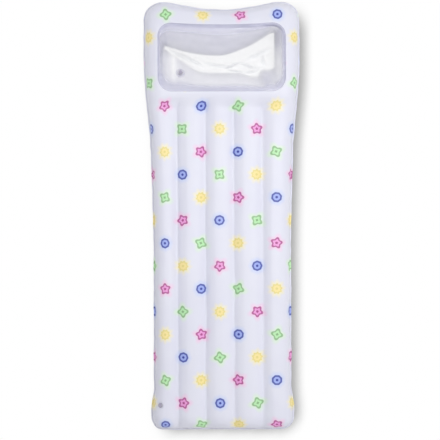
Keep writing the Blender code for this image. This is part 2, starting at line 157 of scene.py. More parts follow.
# Creases of the film's slack middle, each a line from a to b with a height and a width
CREASES = (
    ((-0.215, 0.688), (-0.130, 0.640), 0.0022, 0.0070),
    ((-0.170, 0.672), (-0.075, 0.618), 0.0024, 0.0060),
    ((-0.070, 0.632), (0.040, 0.612), 0.0026, 0.0060),
    ((0.020, 0.612), (0.075, 0.634), 0.0040, 0.0046),
    ((0.075, 0.634), (0.150, 0.606), 0.0040, 0.0050),
    ((0.025, 0.604), (0.095, 0.592), 0.0034, 0.0044),
    ((0.095, 0.592), (0.150, 0.600), 0.0030, 0.0044),
    ((0.165, 0.664), (0.175, 0.618), 0.0028, 0.0070),
    ((0.110, 0.650), (0.200, 0.690), 0.0024, 0.0080),
)

# Painted shade and painted light on the film's slope: bands made denser, and with a negative share thinner,
# in the creases' form with a share in place of a height
PAINTED_SHADE_AND_LIGHT = (
    ((0.170, 0.590), (0.205, 0.540), 0.12, 0.028),
    ((-0.198, 0.700), (-0.198, 0.545), -0.09, 0.013),
    ((-0.252, 0.720), (-0.250, 0.540), 0.12, 0.009),
    ((-0.150, 0.742), (0.170, 0.742), 0.03, 0.012),
    ((-0.120, 0.715), (0.120, 0.708), 0.03, 0.006),
    ((0.236, 0.720), (0.236, 0.575), -0.07, 0.014),
)

# Print, measured on the flat sheet: it ends short of the head end's weld
PRINT_ROW = 0.094
PRINT_COLUMN = 0.153
PRINT_SHIFT = 0.029
PRINT_END = 0.874
MOTIF_RADIUS = 0.0205

# Motifs of the print, in the order pink flower, blue ring, green clover and yellow sun
LOBES = (5, 8, 4, 9)
SWINGS = (0.17, 0.03, 0.20, 0.10)
FILLS = ((0.88, 0.38, 0.74), (0.38, 0.46, 0.88), (0.52, 0.84, 0.48), (0.95, 0.80, 0.36))
HALOS = ((0.93, 0.60, 0.82), (0.60, 0.68, 0.95), (0.72, 0.90, 0.68), (0.95, 0.86, 0.52))

# Valves
FLANGE_RADIUS = 0.019
FLANGE_DISC = 0.0008
SLEEVE_BORE = 0.0083
SLEEVE_WALL = 0.0012
SLEEVE_RADIUS = SLEEVE_BORE + SLEEVE_WALL
SLEEVE_RISE = 0.0015
SLEEVE_DEPTH = 0.0160
STEM_CLEARANCE = 0.0003
STEM_DEPTH = 0.0150
STEM_LIP = 0.0014
LIP_FOOT = SLEEVE_RISE + LAYER_GAP
LIP_TOP = LIP_FOOT + STEM_LIP
GRIP_LEVELS = (-0.0110, -0.0085, -0.0060)
GRIP_DEPTH = 0.0003
PLUG_BORE = 0.0048
PLUG_BORE_DEPTH = 0.0070
AIRWAY = 0.0036
CAP_RADIUS = 0.0070
CAP_HEIGHT = 0.0016
CAP_FOOT = LIP_TOP + LAYER_GAP
STOPPER_TOP_RADIUS = 0.0044
STOPPER_TIP_RADIUS = 0.0032
STOPPER_LENGTH = 0.0050
STRAP_WIDTH = 0.0050
STRAP_THICKNESS = 0.0012
KNUCKLE_RADIUS = 0.00068
HINGE_REACH = 0.0084
TAB_WIDTH = 0.0040
TAB_REACH = 0.0098
RIB_PITCH = 0.0007
RIB_WIDTH = 0.0003
RIB_RISE = 0.0002
FLAP_RADIUS = 0.0062
FLAP_THICKNESS = 0.0008
FLAP_HINGE_REACH = 0.0048
HOLE_RADIUS = SLEEVE_RADIUS + LAYER_GAP
HOLE_HEM = 0.0135
CALM_REACH = 0.030

# Where the head valve sits on the film, as a first guess: along the foot side and up the slope
HEAD_VALVE_ALONG = -0.680
HEAD_VALVE_UP = 0.400

# Mesh steps
HALF_TUBE_STEPS = 7
SIDE_STEPS = 10
HOLE_STEP = 9
BODY_ROW = 0.0055
RAIL_ROW = 0.010
SLOPE_RINGS = 24
SLACK_RINGS = 26
WINDOW_WIDE = 112
WINDOW_HIGH = 54
ROUND_STEPS = 64
WEB_STEPS = 150
WEB_LEVELS = 12
BULKHEAD_STEPS = 120
BULKHEAD_LEVELS = 14

# Tie webs and bulkhead: how far the webs' ends are hollowed, and how far the strips wave
WEB_BOW = 0.022
WEB_WAVE = 0.0016
BULKHEAD_BILLOW = 0.004

# Stage: the lamps' names, places, widths, lengths and powers, and the world's even light
LAMPS = (
    ("Key", (0.80, 0.30, 3.30), 1.1, 4.6, 76.0),
    ("Head_fill", (0.50, 3.00, 1.50), 1.6, 1.6, 15.0),
    ("Foot_fill", (0.50, -3.00, 1.50), 1.6, 1.6, 16.0),
    ("Left_fill", (-2.60, 0.60, 0.90), 2.4, 1.2, 11.0),
    ("Right_fill", (2.60, -0.10, 0.90), 2.4, 1.2, 5.0),
)
WORLD_LIGHT = 0.33

# Camera: straight above, with the width of a pixel given at the height of the outline
CAMERA_PLACE = (-0.0091, -0.0171, 7.0)
CAMERA_TURN = -0.20
OUTLINE_LEVEL = 0.064
PICTURE_WIDTH = 440 * 0.00414

# The floor's shadow: how open a point is to the light, and the grey there
SHADOW_REACH = 0.085
SHADOW = ((0.0, 0.06), (0.485, 0.50), (0.61, 0.70), (0.72, 0.86), (0.84, 0.97), (0.95, 1.0))


class MattressSizes(PropertyGroup):
    """Sizes of the blown-up mattress."""

    head_width: FloatProperty(
        name="Head width", description="Over the head ring", default=0.644, unit="LENGTH"
    )
    body_width: FloatProperty(name="Body width", description="At the waist", default=0.570, unit="LENGTH")
    foot_width: FloatProperty(
        name="Foot width", description="Over the foot end", default=0.592, unit="LENGTH"
    )
    body_thickness: FloatProperty(
        name="Tube thickness", description="Over the tubes", default=0.115, unit="LENGTH"
    )
    head_thickness: FloatProperty(
        name="Ring thickness", description="Over the ring", default=0.128, unit="LENGTH"
    )
    tube_pitch: FloatProperty(
        name="Tube pitch", description="From web to web", default=0.117, unit="LENGTH"
    )
    valley_depth: FloatProperty(
        name="Valley depth", description="Crest to weld", default=0.020, unit="LENGTH"
    )
    window_width: FloatProperty(name="Window width", description="Cut-out", default=0.526, unit="LENGTH")
    window_height: FloatProperty(name="Window height", description="Cut-out", default=0.286, unit="LENGTH")
    pucker: FloatProperty(
        name="Pucker", description="Depth of the gathers at a weld", default=0.0016, unit="LENGTH"
    )


class MattressColours(PropertyGroup):
    """Colours of the vinyl and its print."""

    vinyl: FloatVectorProperty(
        name="Vinyl", description="Base sheet", subtype="COLOR", default=(0.775, 0.78, 0.885)
    )
    # Painted shade and painted light: the clear film's darker colour on its slope and its lighter colour
    # where it lies slack
    film: FloatVectorProperty(
        name="Film", description="On its slope", subtype="COLOR", default=(0.635, 0.635, 0.81)
    )
    slack: FloatVectorProperty(
        name="Slack", description="Slack film", subtype="COLOR", default=(0.93, 0.94, 0.98)
    )
    valve: FloatVectorProperty(
        name="Valve", description="Clear parts", subtype="COLOR", default=(0.86, 0.85, 0.94)
    )
    plug: FloatVectorProperty(
        name="Plug", description="Stoppers", subtype="COLOR", default=(0.42, 0.39, 0.51)
    )
    pink: FloatVectorProperty(
        name="Pink", description="Print", subtype="COLOR", default=(0.44, 0.075, 0.28)
    )
    blue: FloatVectorProperty(
        name="Blue", description="Print", subtype="COLOR", default=(0.045, 0.07, 0.40)
    )
    green: FloatVectorProperty(
        name="Green", description="Print", subtype="COLOR", default=(0.28, 0.51, 0.25)
    )
    yellow: FloatVectorProperty(
        name="Yellow", description="Print", subtype="COLOR", default=(0.84, 0.72, 0.28)
    )


def sizes():
    return bpy.context.scene.mattress_sizes


def colours():
    return bpy.context.scene.mattress_colours


def clamp(value):
    return min(max(value, 0.0), 1.0)


def smooth(value):
    t = clamp(value)
    return t * t * (3.0 - 2.0 * t)


def quarter_round(value):
    return math.sqrt(1.0 - (1.0 - clamp(value)) ** 2)


class Form:
    """The blown-up shape: heights and outlines as functions of the plan."""

    def __init__(self, given):
        self.head_width = given.head_width
        self.body_width = given.body_width
        self.foot_width = given.foot_width
        self.body_thickness = given.body_thickness
        self.head_thickness = given.head_thickness
        self.pitch = given.tube_pitch
        self.depth = given.valley_depth
        self.window_width = given.window_width
        self.window_height = given.window_height
        self.pucker = given.pucker
        self.window_left = -self.window_width / 2
        self.window_low = HEAD_Y - WINDOW_FROM_HEAD - self.window_height / 2

    def half_width(self, y):
        from_head = HEAD_Y - y
        neck = smooth((NECK_FROM_HEAD - from_head) / (NECK_FROM_HEAD - SHOULDER_FROM_HEAD))
        taper = smooth((WAIST_FROM_HEAD - from_head) / (WAIST_FROM_HEAD - SHOULDER_FROM_HEAD))
        head = (neck + taper) / 2
        foot = smooth((FLARE_FROM_FOOT + FOOT_Y - y) / (FLARE_FROM_FOOT - FLARE_END_FROM_FOOT))
        widened = (self.head_width - self.body_width) * head + (self.foot_width - self.body_width) * foot
        return (self.body_width + widened) / 2

    def head_edge(self, x):
        across = clamp(abs(x) / HEAD_DIP_REACH)
        return HEAD_Y - HEAD_DIP * math.cos(math.pi / 2 * across)

    def ends_at(self, x, y):
        if y > 0:
            return self.head_edge(x) - y, HEAD_CORNER
        return y - FOOT_Y, FOOT_CORNER

    def edge_distance(self, x, y):
        side = self.half_width(y) - abs(x)
        end, corner = self.ends_at(x, y)
        if side < corner and end < corner:
            return corner - math.hypot(corner - side, corner - end)
        return min(side, end)

    def edge_place(self, x, y):
        """A place along the edge near a point, for gathers that run square to the edge."""
        side = self.half_width(y) - abs(x)
        end, corner = self.ends_at(x, y)
        if side < corner and end < corner:
            turn = math.atan2(corner - end, corner - side)
            return 7.0 + math.copysign(1.0, x) + 3.0 * math.copysign(1.0, y) + turn * corner * 2.0
        if side < end:
            return y + 3.0 * math.copysign(1.0, x)
        return x + 11.0 * math.copysign(1.0, y)

    def thickness(self, y):
        swell = smooth((SWELL_END_FROM_HEAD - HEAD_Y + y) / (SWELL_END_FROM_HEAD - SWELL_FROM_HEAD))
        return self.body_thickness + (self.head_thickness - self.body_thickness) * swell

    def tube_arc(self, across):
        foot = math.sqrt(ARC_RADIUS**2 - 1.0)
        crest = math.sqrt(ARC_RADIUS**2 - CREST_FLAT**2)
        here = math.sqrt(ARC_RADIUS**2 - clamp(across) ** 2)
        return min((here - foot) / (crest - foot), 1.0)

    def outer_crest(self, y):
        return self.half_width(y) - EDGE_WELD - SIDE_ROUND

    def outer_weld(self):
        return 1.5 * self.pitch + WEB_WELD / 2

    def channel(self, y):
        """How far the tubes are parted at y, from 0 on the head ring to 1 below it."""
        span = CHANNEL_FULL_FROM_HEAD - CHANNEL_FROM_HEAD
        return smooth((HEAD_Y - CHANNEL_FROM_HEAD - y) / span)

    def valley(self, x, y):
        across = abs(x)
        if across < 1.5 * self.pitch:
            centre = round(across / self.pitch) * self.pitch
            share = abs(across - centre) / ((self.pitch - WEB_WELD) / 2)
        else:
            share = (self.outer_crest(y) - across) / (self.outer_crest(y) - self.outer_weld())
        return self.depth * (1.0 - self.tube_arc(share)) * self.channel(y)

    def height(self, x, y):
        middle = self.thickness(y) / 2
        foot = LAYER_GAP / 2 + SHEET
        crown = middle - self.valley(x, y) - foot
        round_side = quarter_round((self.edge_distance(x, y) - EDGE_WELD) / SIDE_ROUND)
        return middle + foot + crown * round_side

    def rim_distance(self, x, y):
        """How far a point lies outside the window's cut-out, and its place round it."""
        rise = y - HEAD_Y + WINDOW_FROM_HEAD
        half_x, half_y = self.window_width / 2, self.window_height / 2
        rise += WINDOW_SAG * clamp(rise / half_y) * (1.0 - min((x / half_x) ** 2, 1.0))
        past_x = abs(x) - half_x + WINDOW_CORNER
        past_y = abs(rise) - half_y + WINDOW_CORNER
        outside = math.hypot(max(past_x, 0.0), max(past_y, 0.0)) + min(max(past_x, past_y), 0.0)
        return outside - WINDOW_CORNER, 20.0 + 0.35 * math.atan2(rise, x)

    def weld_distance(self, x):
        """How far x lies beside the nearest web's weld, and a number for that side of it."""
        weld = min((round(abs(x) / self.pitch - 0.5) + 0.5) * self.pitch, 1.5 * self.pitch)
        beside = abs(abs(x) - weld) - WEB_WELD / 2
        return beside, math.copysign(3.0, abs(x) - weld) + math.copysign(10.0 * weld + 7.0, x)

    def seams(self, x, y):
        """Distance, place along and gathering strength of each seam that a point is near."""
        inside = self.edge_distance(x, y) - EDGE_WELD
        from_end = min(HEAD_Y - y, y - FOOT_Y)
        straight = smooth((from_end - 0.09) / 0.14)
        yield inside, self.edge_place(x, y), 1.0 - STRAIGHT_CALM * straight
        beside, side = self.weld_distance(x)
        yield beside, y + 5.0 * side, VALLEY_GATHER * self.channel(y) * smooth(inside / 0.05)
        yield (*self.rim_distance(x, y), RIM_GATHER)

    def relief(self, x, y, seed):
        """How far the blown-up skin stands off its smooth form: gathers at seams and slow waves."""
        moved = 0.0
        for away, place, strength in self.seams(x, y):
            if away > 0.12 or strength < 0.01:
                continue
            away = max(away, 0.0)
            depth = strength * smooth(away / GATHER_RISE) * self.pucker
            fine = abs(noise.noise((place * 52.0, away * 14.0, seed + 1.7)))
            broad = noise.noise((place * 21.0, away * 7.0, seed + 9.3))
            moved += depth * (0.32 - 1.15 * fine) * math.exp(-away / FINE_REACH)
            moved += depth * 1.3 * (broad - 0.1) * math.exp(-away / BROAD_REACH)
        inside = smooth((self.edge_distance(x, y) - EDGE_WELD) / 0.05)
        clear = smooth(self.rim_distance(x, y)[0] / 0.03)
        slow = noise.noise((x * 10.0, y * 5.5, seed + 2.0))
        slow += 0.5 * noise.noise((x * 24.0, y * 13.0, seed + 4.0))
        return moved + SLOW_WAVE * slow * inside * clear

    def ripple(self, x, y):
        """Rise and fall of the welded edge, which both skins share."""
        near = math.exp(-max(self.edge_distance(x, y), 0.0) / 0.010)
        place = self.edge_place(x, y)
        wave = noise.noise((place * 16.0, 3.3, 0.0)) + 0.5 * noise.noise((place * 45.0, 6.1, 0.0))
        return EDGE_RIPPLE * near * wave

    def drift(self, x, y):
        """How far the tubes' welds lie to the left of the mattress's own middle, with a slow wobble."""
        held = 1.0 - min(abs(x) / (self.half_width(y) - EDGE_WELD), 1.0) ** 4
        wobble = WELD_WOBBLE * noise.noise((x * 9.0, y * 7.0, 31.0))
        return -(TUBE_DRIFT + wobble) * held * self.channel(y)

    def flat_place(self, x, y):
        """A point's place on the sheet before it was sewn: its round sides are laid out flat."""
        inside = self.edge_distance(x, y) - EDGE_WELD
        short = SIDE_ROUND * (1.0 - clamp(inside / SIDE_ROUND))
        spare = SIDE_ROUND * math.asin(short / SIDE_ROUND) - short
        if spare <= 0:
            return x, y
        out_x, out_y = self.outward(x, y)
        return x + out_x * spare, y + out_y * spare

    def outward(self, x, y):
        """The direction square to the nearest edge."""
        step = 0.004
        out_x = self.edge_distance(x - step, y) - self.edge_distance(x + step, y)
        out_y = self.edge_distance(x, y - step) - self.edge_distance(x, y + step)
        length = math.hypot(out_x, out_y) or 1.0
        return out_x / length, out_y / length

    def drawn_in(self, x, y):
        """How far the gathers pull the welded edge in or let it out, in x and y."""
        near = math.exp(-max(self.edge_distance(x, y), 0.0) / 0.022)
        if near < 0.02:
            return 0.0, 0.0
        place = self.edge_place(x, y)
        lumps = noise.noise((place * 15.0, 8.2, 0.0)) + 0.5 * noise.noise((place * 34.0, 2.6, 0.0))
        pull = EDGE_LUMP * near * lumps
        out_x, out_y = self.outward(x, y)
        return out_x * pull, out_y * pull

    def window_point(self, across, up, lap, corner=WINDOW_CORNER):
        half_x = self.window_width / 2 + lap
        half_y = self.window_height / 2 + lap
        side, end = round_corner(half_x * (1 - abs(across)), half_y * (1 - abs(up)), corner + lap)
        x = math.copysign(half_x - side, across)
        rise = math.copysign(half_y - end, up)
        sag = WINDOW_SAG * clamp(rise / half_y) * (1.0 - (x / half_x) ** 2)
        return x, HEAD_Y - WINDOW_FROM_HEAD + rise - sag

    def inner_point(self, across, up):
        x, y = self.window_point(across, up, 0.0, INNER_CORNER)
        share_x = (x - self.window_left) / self.window_width
        share_y = (y - self.window_low) / self.window_height
        x = self.window_left + INNER_LEFT + (self.window_width - INNER_LEFT - INNER_RIGHT) * share_x
        top, foot = self.inner_sides(x)
        return x, foot + (top - foot) * share_y

    def inner_sides(self, x):
        """y of the inner weld's upper and lower side at x."""
        past_sag = x - self.window_left - INNER_SAG_FROM_LEFT
        if past_sag > 0:
            sag = INNER_SAG_RIGHT_RATE * past_sag**1.5
        else:
            sag = INNER_SAG_LEFT_RATE * past_sag**2
        short = self.window_left + INNER_CLIMB_FROM_LEFT - x
        climb = (short + math.hypot(short, INNER_CLIMB_ROUND)) / 2
        top = self.window_low + self.window_height - INNER_TOP + sag
        dart = INNER_DART * smooth((x - 0.060) / 0.080) - INNER_NOTCH * smooth((x - 0.145) / 0.022)
        return top, self.window_low + INNER_FOOT - dart + INNER_CLIMB_RATE * climb

    def weld_height(self, y):
        return self.thickness(y) / 2 + LAYER_GAP / 2 + FILM + LAYER_GAP + SHEET

    def film_point(self, across, up, climb):
        outer = Vector(self.window_point(across, up, 0.0))
        inner = Vector(self.inner_point(across, up))
        x, y = inner.lerp(outer, climb)
        weld = self.weld_height(y)
        rim = self.height(outer.x, outer.y)
        return Vector((x, y, weld + (rim - weld) * quarter_round(climb)))

    def slope_height(self, x, y):
        """z of the film's upper face on the window's foot side, where the head valve sits."""
        across, climb, step = HEAD_VALVE_ALONG, HEAD_VALVE_UP, 0.001
        for _ in range(12):
            here = self.film_point(across, -1.0, climb)
            by_across = (self.film_point(across + step, -1.0, climb) - here) / step
            by_climb = (self.film_point(across, -1.0, climb + step) - here) / step
            det = by_across.x * by_climb.y - by_across.y * by_climb.x
            miss_x, miss_y = x - here.x, y - here.y
            across += (miss_x * by_climb.y - miss_y * by_climb.x) / det
            climb += (by_across.x * miss_y - by_across.y * miss_x) / det
            climb = min(max(climb, 0.02), 0.98)
        normal = by_across.cross(by_climb).normalized()
        return here.z - (SHEET + LAYER_GAP) / max(abs(normal.z), 0.3)


def frame_on(point, normal):
    """A frame with z along the normal and x towards the foot end."""
    z = normal.normalized()
    x = Vector((0, -1, 0)) - z * z.dot(Vector((0, -1, 0)))
    x.normalize()
    turn = Matrix((x, z.cross(x), z)).transposed().to_4x4()
    return Matrix.Translation(point) @ turn


def valve_frame(name):
    """A valve's own frame as its joints give it: z along the stem's slide, x to the plug's hinge."""
    joints = {joint["name"]: joint for joint in frame["joints"]}
    hinge = Vector(joints[f"{name}_plug_hinge"]["pos_m"])
    slide = Vector(joints[f"{name}_stem_slide"]["axis"])
    rise = CAP_FOOT + STRAP_THICKNESS / 2
    return frame_on(hinge, slide) @ Matrix.Translation((-HINGE_REACH, 0, -rise))


def round_corner(a, b, radius):
    p = radius - a
    q = radius - b
    if p <= 0 or q <= 0:
        return a, b
    if p >= q:
        angle = math.pi / 4 * q / p
    else:
        angle = math.pi / 2 - math.pi / 4 * p / q
    reach = max(p, q)
    return radius - reach * math.cos(angle), radius - reach * math.sin(angle)


def edge_offsets():
    """Distances from the edge: across the weld, then up the round side to its crest."""
    steps = [0.0, EDGE_WELD / 2, EDGE_WELD]
    for step in range(1, SIDE_STEPS + 1):
        steps.append(EDGE_WELD + SIDE_ROUND * (1.0 - math.cos(math.pi / 2 * step / SIDE_STEPS)))
    return steps


def columns(form, y):
    """x of every grid column at y."""
    reach = (form.pitch - WEB_WELD) / 2
    arc = [reach * math.sin(math.pi / 2 * k / HALF_TUBE_STEPS) for k in range(HALF_TUBE_STEPS + 1)]
    right = arc[1:] + [form.pitch / 2]
    right += [form.pitch - step for step in reversed(arc)] + [form.pitch + step for step in arc[1:]]
    right += [1.5 * form.pitch, form.outer_weld()]
    gap = form.outer_crest(y) - form.outer_weld()
    right += [form.outer_weld() + gap * k / HALF_TUBE_STEPS for k in range(1, HALF_TUBE_STEPS)]
    right += [form.half_width(y) - step for step in reversed(edge_offsets())]
    return [-x for x in reversed(right)] + [0.0] + right


def steps_between(start, end, length):
    count = max(1, round(abs(end - start) / length))
    return [start + (end - start) * k / count for k in range(1, count + 1)]


def rows():
    """Every grid row, as its end (1 head, -1 foot) and distance from it, or 0 and its y."""
    found = [(1, step) for step in edge_offsets()[: HOLE_STEP + 1]]
    rail = steps_between(HEAD_Y - edge_offsets()[HOLE_STEP], HEAD_Y - CHANNEL_FROM_HEAD, RAIL_ROW)
    body = steps_between(HEAD_Y - CHANNEL_FROM_HEAD, FOOT_Y + EDGE_WELD + SIDE_ROUND, BODY_ROW)
    found += [(0, y) for y in rail + body]
    found += [(-1, step) for step in reversed(edge_offsets()[:-1])]
    return found, HOLE_STEP, HOLE_STEP + len(rail)


def plan_point(form, column, row):
    end, value = row
    y = (value, HEAD_Y - value, FOOT_Y + value)[end]
    x = columns(form, y)[column]
    if end > 0:
        y = form.head_edge(x) - value
    side = form.half_width(y) - abs(x)
    end_distance, corner = form.ends_at(x, y)
    side, turned = round_corner(side, end_distance, corner)
    x = math.copysign(form.half_width(y) - side, x)
    return x, y + (end_distance - turned) * math.copysign(1.0, y)


def perimeter(wide, high):
    points = [(-1 + 2 * i / wide, -1.0) for i in range(wide)]
    points += [(1.0, -1 + 2 * j / high) for j in range(high)]
    points += [(1 - 2 * i / wide, 1.0) for i in range(wide)]
    points += [(-1.0, 1 - 2 * j / high) for j in range(high)]
    return points


def next_ring(bm, ring):
    """Extrudes a closed ring of edges and returns its new ring in the same order."""
    edges = [bm.edges.get((ring[i - 1], ring[i])) for i in range(len(ring))]
    bmesh.ops.extrude_edge_only(bm, edges=edges)
    known = set(ring)
    made = []
    for vert in ring:
        fresh = [e.other_vert(vert) for e in vert.link_edges if e.other_vert(vert) not in known]
        fresh = [v for v in fresh if (v.co - vert.co).length < 1e-9]
        made.append(fresh[0])
    return made


def skin_grid(form):
    """The outer skin of one side, open at the window, whose rim is laid round its cut-out."""
    grid_rows, hole_top, hole_foot = rows()
    wide = len(columns(form, 0.0)) - 1
    high = len(grid_rows) - 1
    hole_left = HOLE_STEP
    hole_right = wide - HOLE_STEP
    bm = bmesh.new()
    bmesh.ops.create_grid(bm, x_segments=wide, y_segments=high, size=0.5)
    cells = {}
    for vert in bm.verts:
        cells[vert] = (round((vert.co.x + 0.5) * wide), round((0.5 - vert.co.y) * high))
    spare = []
    for face in bm.faces:
        column = min(cells[v][0] for v in face.verts)
        row = min(cells[v][1] for v in face.verts)
        if hole_left <= column < hole_right and hole_top <= row < hole_foot:
            spare.append(face)
    bmesh.ops.delete(bm, geom=spare, context="FACES")
    grid = {cells[v]: v for v in bm.verts}
    for (column, row), vert in grid.items():
        x, y = plan_point(form, column, grid_rows[row])
        vert.co = (x, y, form.height(x, y))
    ring = [grid[i, hole_foot] for i in range(hole_left, hole_right)]
    ring += [grid[hole_right, j] for j in range(hole_foot, hole_top, -1)]
    ring += [grid[i, hole_top] for i in range(hole_right, hole_left, -1)]
    ring += [grid[hole_left, j] for j in range(hole_top, hole_foot)]
    around = perimeter(hole_right - hole_left, hole_foot - hole_top)
    for lap in (FILM_LAP * 1.5, FILM_LAP, FILM_LAP * 0.3, 0.0):
        ring = next_ring(bm, ring)
        for vert, (across, up) in zip(ring, around):
            x, y = form.window_point(across, up, lap)
            vert.co = (x, y, form.height(x, y))
    return bm


def print_map(bm, form):
    """Writes each face corner's place on the flat sheet, in metres, and marks the edge weld."""
    layer = bm.loops.layers.uv.new("print")
    weld = bm.verts.layers.float.new("weld")
    for vert in bm.verts:
        past_weld = form.edge_distance(vert.co.x, vert.co.y) - EDGE_WELD * 0.7
        vert[weld] = 1.0 - smooth(past_weld / (EDGE_WELD * 0.5))
        place = form.flat_place(vert.co.x, vert.co.y)
        for loop in vert.link_loops:
            loop[layer].uv = place


def seam_map(bm, form):
    """Writes each face corner's place along and beside the nearest seam, for fine creases."""
    layer = bm.loops.layers.uv.new("seam")
    seams = {vert: list(form.seams(vert.co.x, vert.co.y)) for vert in bm.verts}
    for face in bm.faces:
        reach = []
        for number, (_, _, strength) in enumerate(seams[face.verts[0]]):
            total = sum(seams[v][number][0] for v in face.verts)
            reach.append(total / max(strength, 0.01))
        nearest = reach.index(min(reach))
        for loop in face.loops:
            away, place, _ = seams[loop.vert][nearest]
            loop[layer].uv = (place, max(away, 0.0))


def valve_hole(bm, place, height):
    """Cuts a round hole for a valve, with a ring of faces from its edge out to its hem."""
    centre = place.translation
    near = [e for e in bm.edges if all((v.co - centre).length < HOLE_HEM * 2.1 for v in e.verts)]
    bmesh.ops.subdivide_edges(bm, edges=near, cuts=1, use_grid_fill=True)
    inverse = place.inverted()

    def plan(point):
        local = inverse @ point
        return math.hypot(local.x, local.y) if abs(local.z) < HOLE_HEM else 1.0

    spare = [f for f in bm.faces if any(plan(v.co) < HOLE_HEM for v in f.verts)]
    bmesh.ops.delete(bm, geom=spare, context="FACES")
    loose = [e for e in bm.edges if e.is_boundary and (e.verts[0].co - centre).length < HOLE_HEM * 2.4]
    made = bmesh.ops.extrude_edge_only(bm, edges=loose)["geom"]
    fresh = [part for part in made if isinstance(part, bmesh.types.BMVert)]
    hem_verts = {v for e in loose for v in e.verts}
    for verts, reach in ((hem_verts, HOLE_HEM * 1.15), (fresh, HOLE_RADIUS)):
        for vert in verts:
            local = inverse @ vert.co
            turn = math.atan2(local.y, local.x)
            vert.co = on_surface(place, reach * math.cos(turn), reach * math.sin(turn), height)


def on_surface(place, across, along, height):
    """The point of a surface straight above a point of a valve's own plane."""
    out = place.col[2]
    lift = 0.0
    point = place.translation
    for _ in range(8):
        point = place @ Vector((across, along, lift))
        lift -= (point.z - height(point.x, point.y)) * out.z
    return point


def add_piece(name, bm, finish, body):
    mesh = bpy.data.meshes.new(name)
    bm.to_mesh(mesh)
    bm.free()
    obj = bpy.data.objects.new(name, mesh)
    bpy.context.scene.collection.objects.link(obj)
    mesh.materials.append(material(finish))
    mesh.shade_smooth()
    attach(obj, body)
    return obj


def thicken(obj, amount, offset=-1.0):
    wall = obj.modifiers.new("Wall", "SOLIDIFY")
    wall.thickness = amount
    wall.offset = offset


def valve_calm(place, x, y):
    """0 on a valve's flange and 1 well outside it, where the sheet may gather."""
    away = math.hypot(x - place.translation.x, y - place.translation.y)
    return smooth((away - FLANGE_RADIUS * 0.9) / CALM_REACH)


def skin(name, side, finish):
    form = Form(sizes())
    bm = skin_grid(form)
    place = valve_frame("body_valve")
    if side > 0:
        valve_hole(bm, place, form.height)
    print_map(bm, form)
    seam_map(bm, form)
    bm.normal_update()
    seed = TOP_SEED if side > 0 else BOTTOM_SEED
    for vert in bm.verts:
        x, y = vert.co.x, vert.co.y
        calm = valve_calm(place, x, y) if side > 0 else 1.0
        vert.co += vert.normal * form.relief(x, y, seed) * calm
    if side < 0:
        turn_over(bm, form)
    for vert in bm.verts:
        x, y = vert.co.x, vert.co.y
        pull_x, pull_y = form.drawn_in(x, y)
        vert.co.x += form.drift(x, y) * valve_calm(place, x, y) + pull_x
        vert.co.y += pull_y
        vert.co.z = max(vert.co.z + form.ripple(x, y), 0.0)
    obj = add_piece(name, bm, finish, ROOT)
    thicken(obj, SHEET)
    return obj


def turn_over(bm, form):
    for vert in bm.verts:
        vert.co.z = form.thickness(vert.co.y) - vert.co.z
    bmesh.ops.reverse_faces(bm, faces=bm.faces[:])


def segment_ridge(x, y, crease):
    """Height of a soft ridge along a line, worn away at its ends."""
    (ax, ay), (bx, by), high, wide = crease
    length_x, length_y = bx - ax, by - ay
    share = ((x - ax) * length_x + (y - ay) * length_y) / (length_x**2 + length_y**2)
    held = clamp(share)
    away = math.hypot(x - ax - held * length_x, y - ay - held * length_y)
    return high * math.exp(-((away / wide) ** 2)) * (0.25 + 0.75 * math.sin(math.pi * held))


def slope_painted_shade(side, across, up, climb, x, y):
    """How much the film on the ring's inner side hides, as painted shade: most at the rim, least at the foot
    side.
    """
    # Painted shade: denser, so darker, film on the head side's slope than on the foot side's, and more at
    # the left and right ends
    base = SLOPE_SHADE_FOOT + (SLOPE_SHADE_HEAD - SLOPE_SHADE_FOOT) * smooth(0.5 + 0.9 * up)
    base += 0.05 * smooth((abs(across) - 0.90) / 0.10)
    # Painted shade under the rim, on the upper film only
    base += (RIM_SHADE if side > 0 else 0.0) * smooth((climb - 0.55) / 0.40)
    base += sum(segment_ridge(x, y, shade) for shade in PAINTED_SHADE_AND_LIGHT)
    return base + 0.02 * noise.noise((x * 9.0, y * 30.0, 8.0))


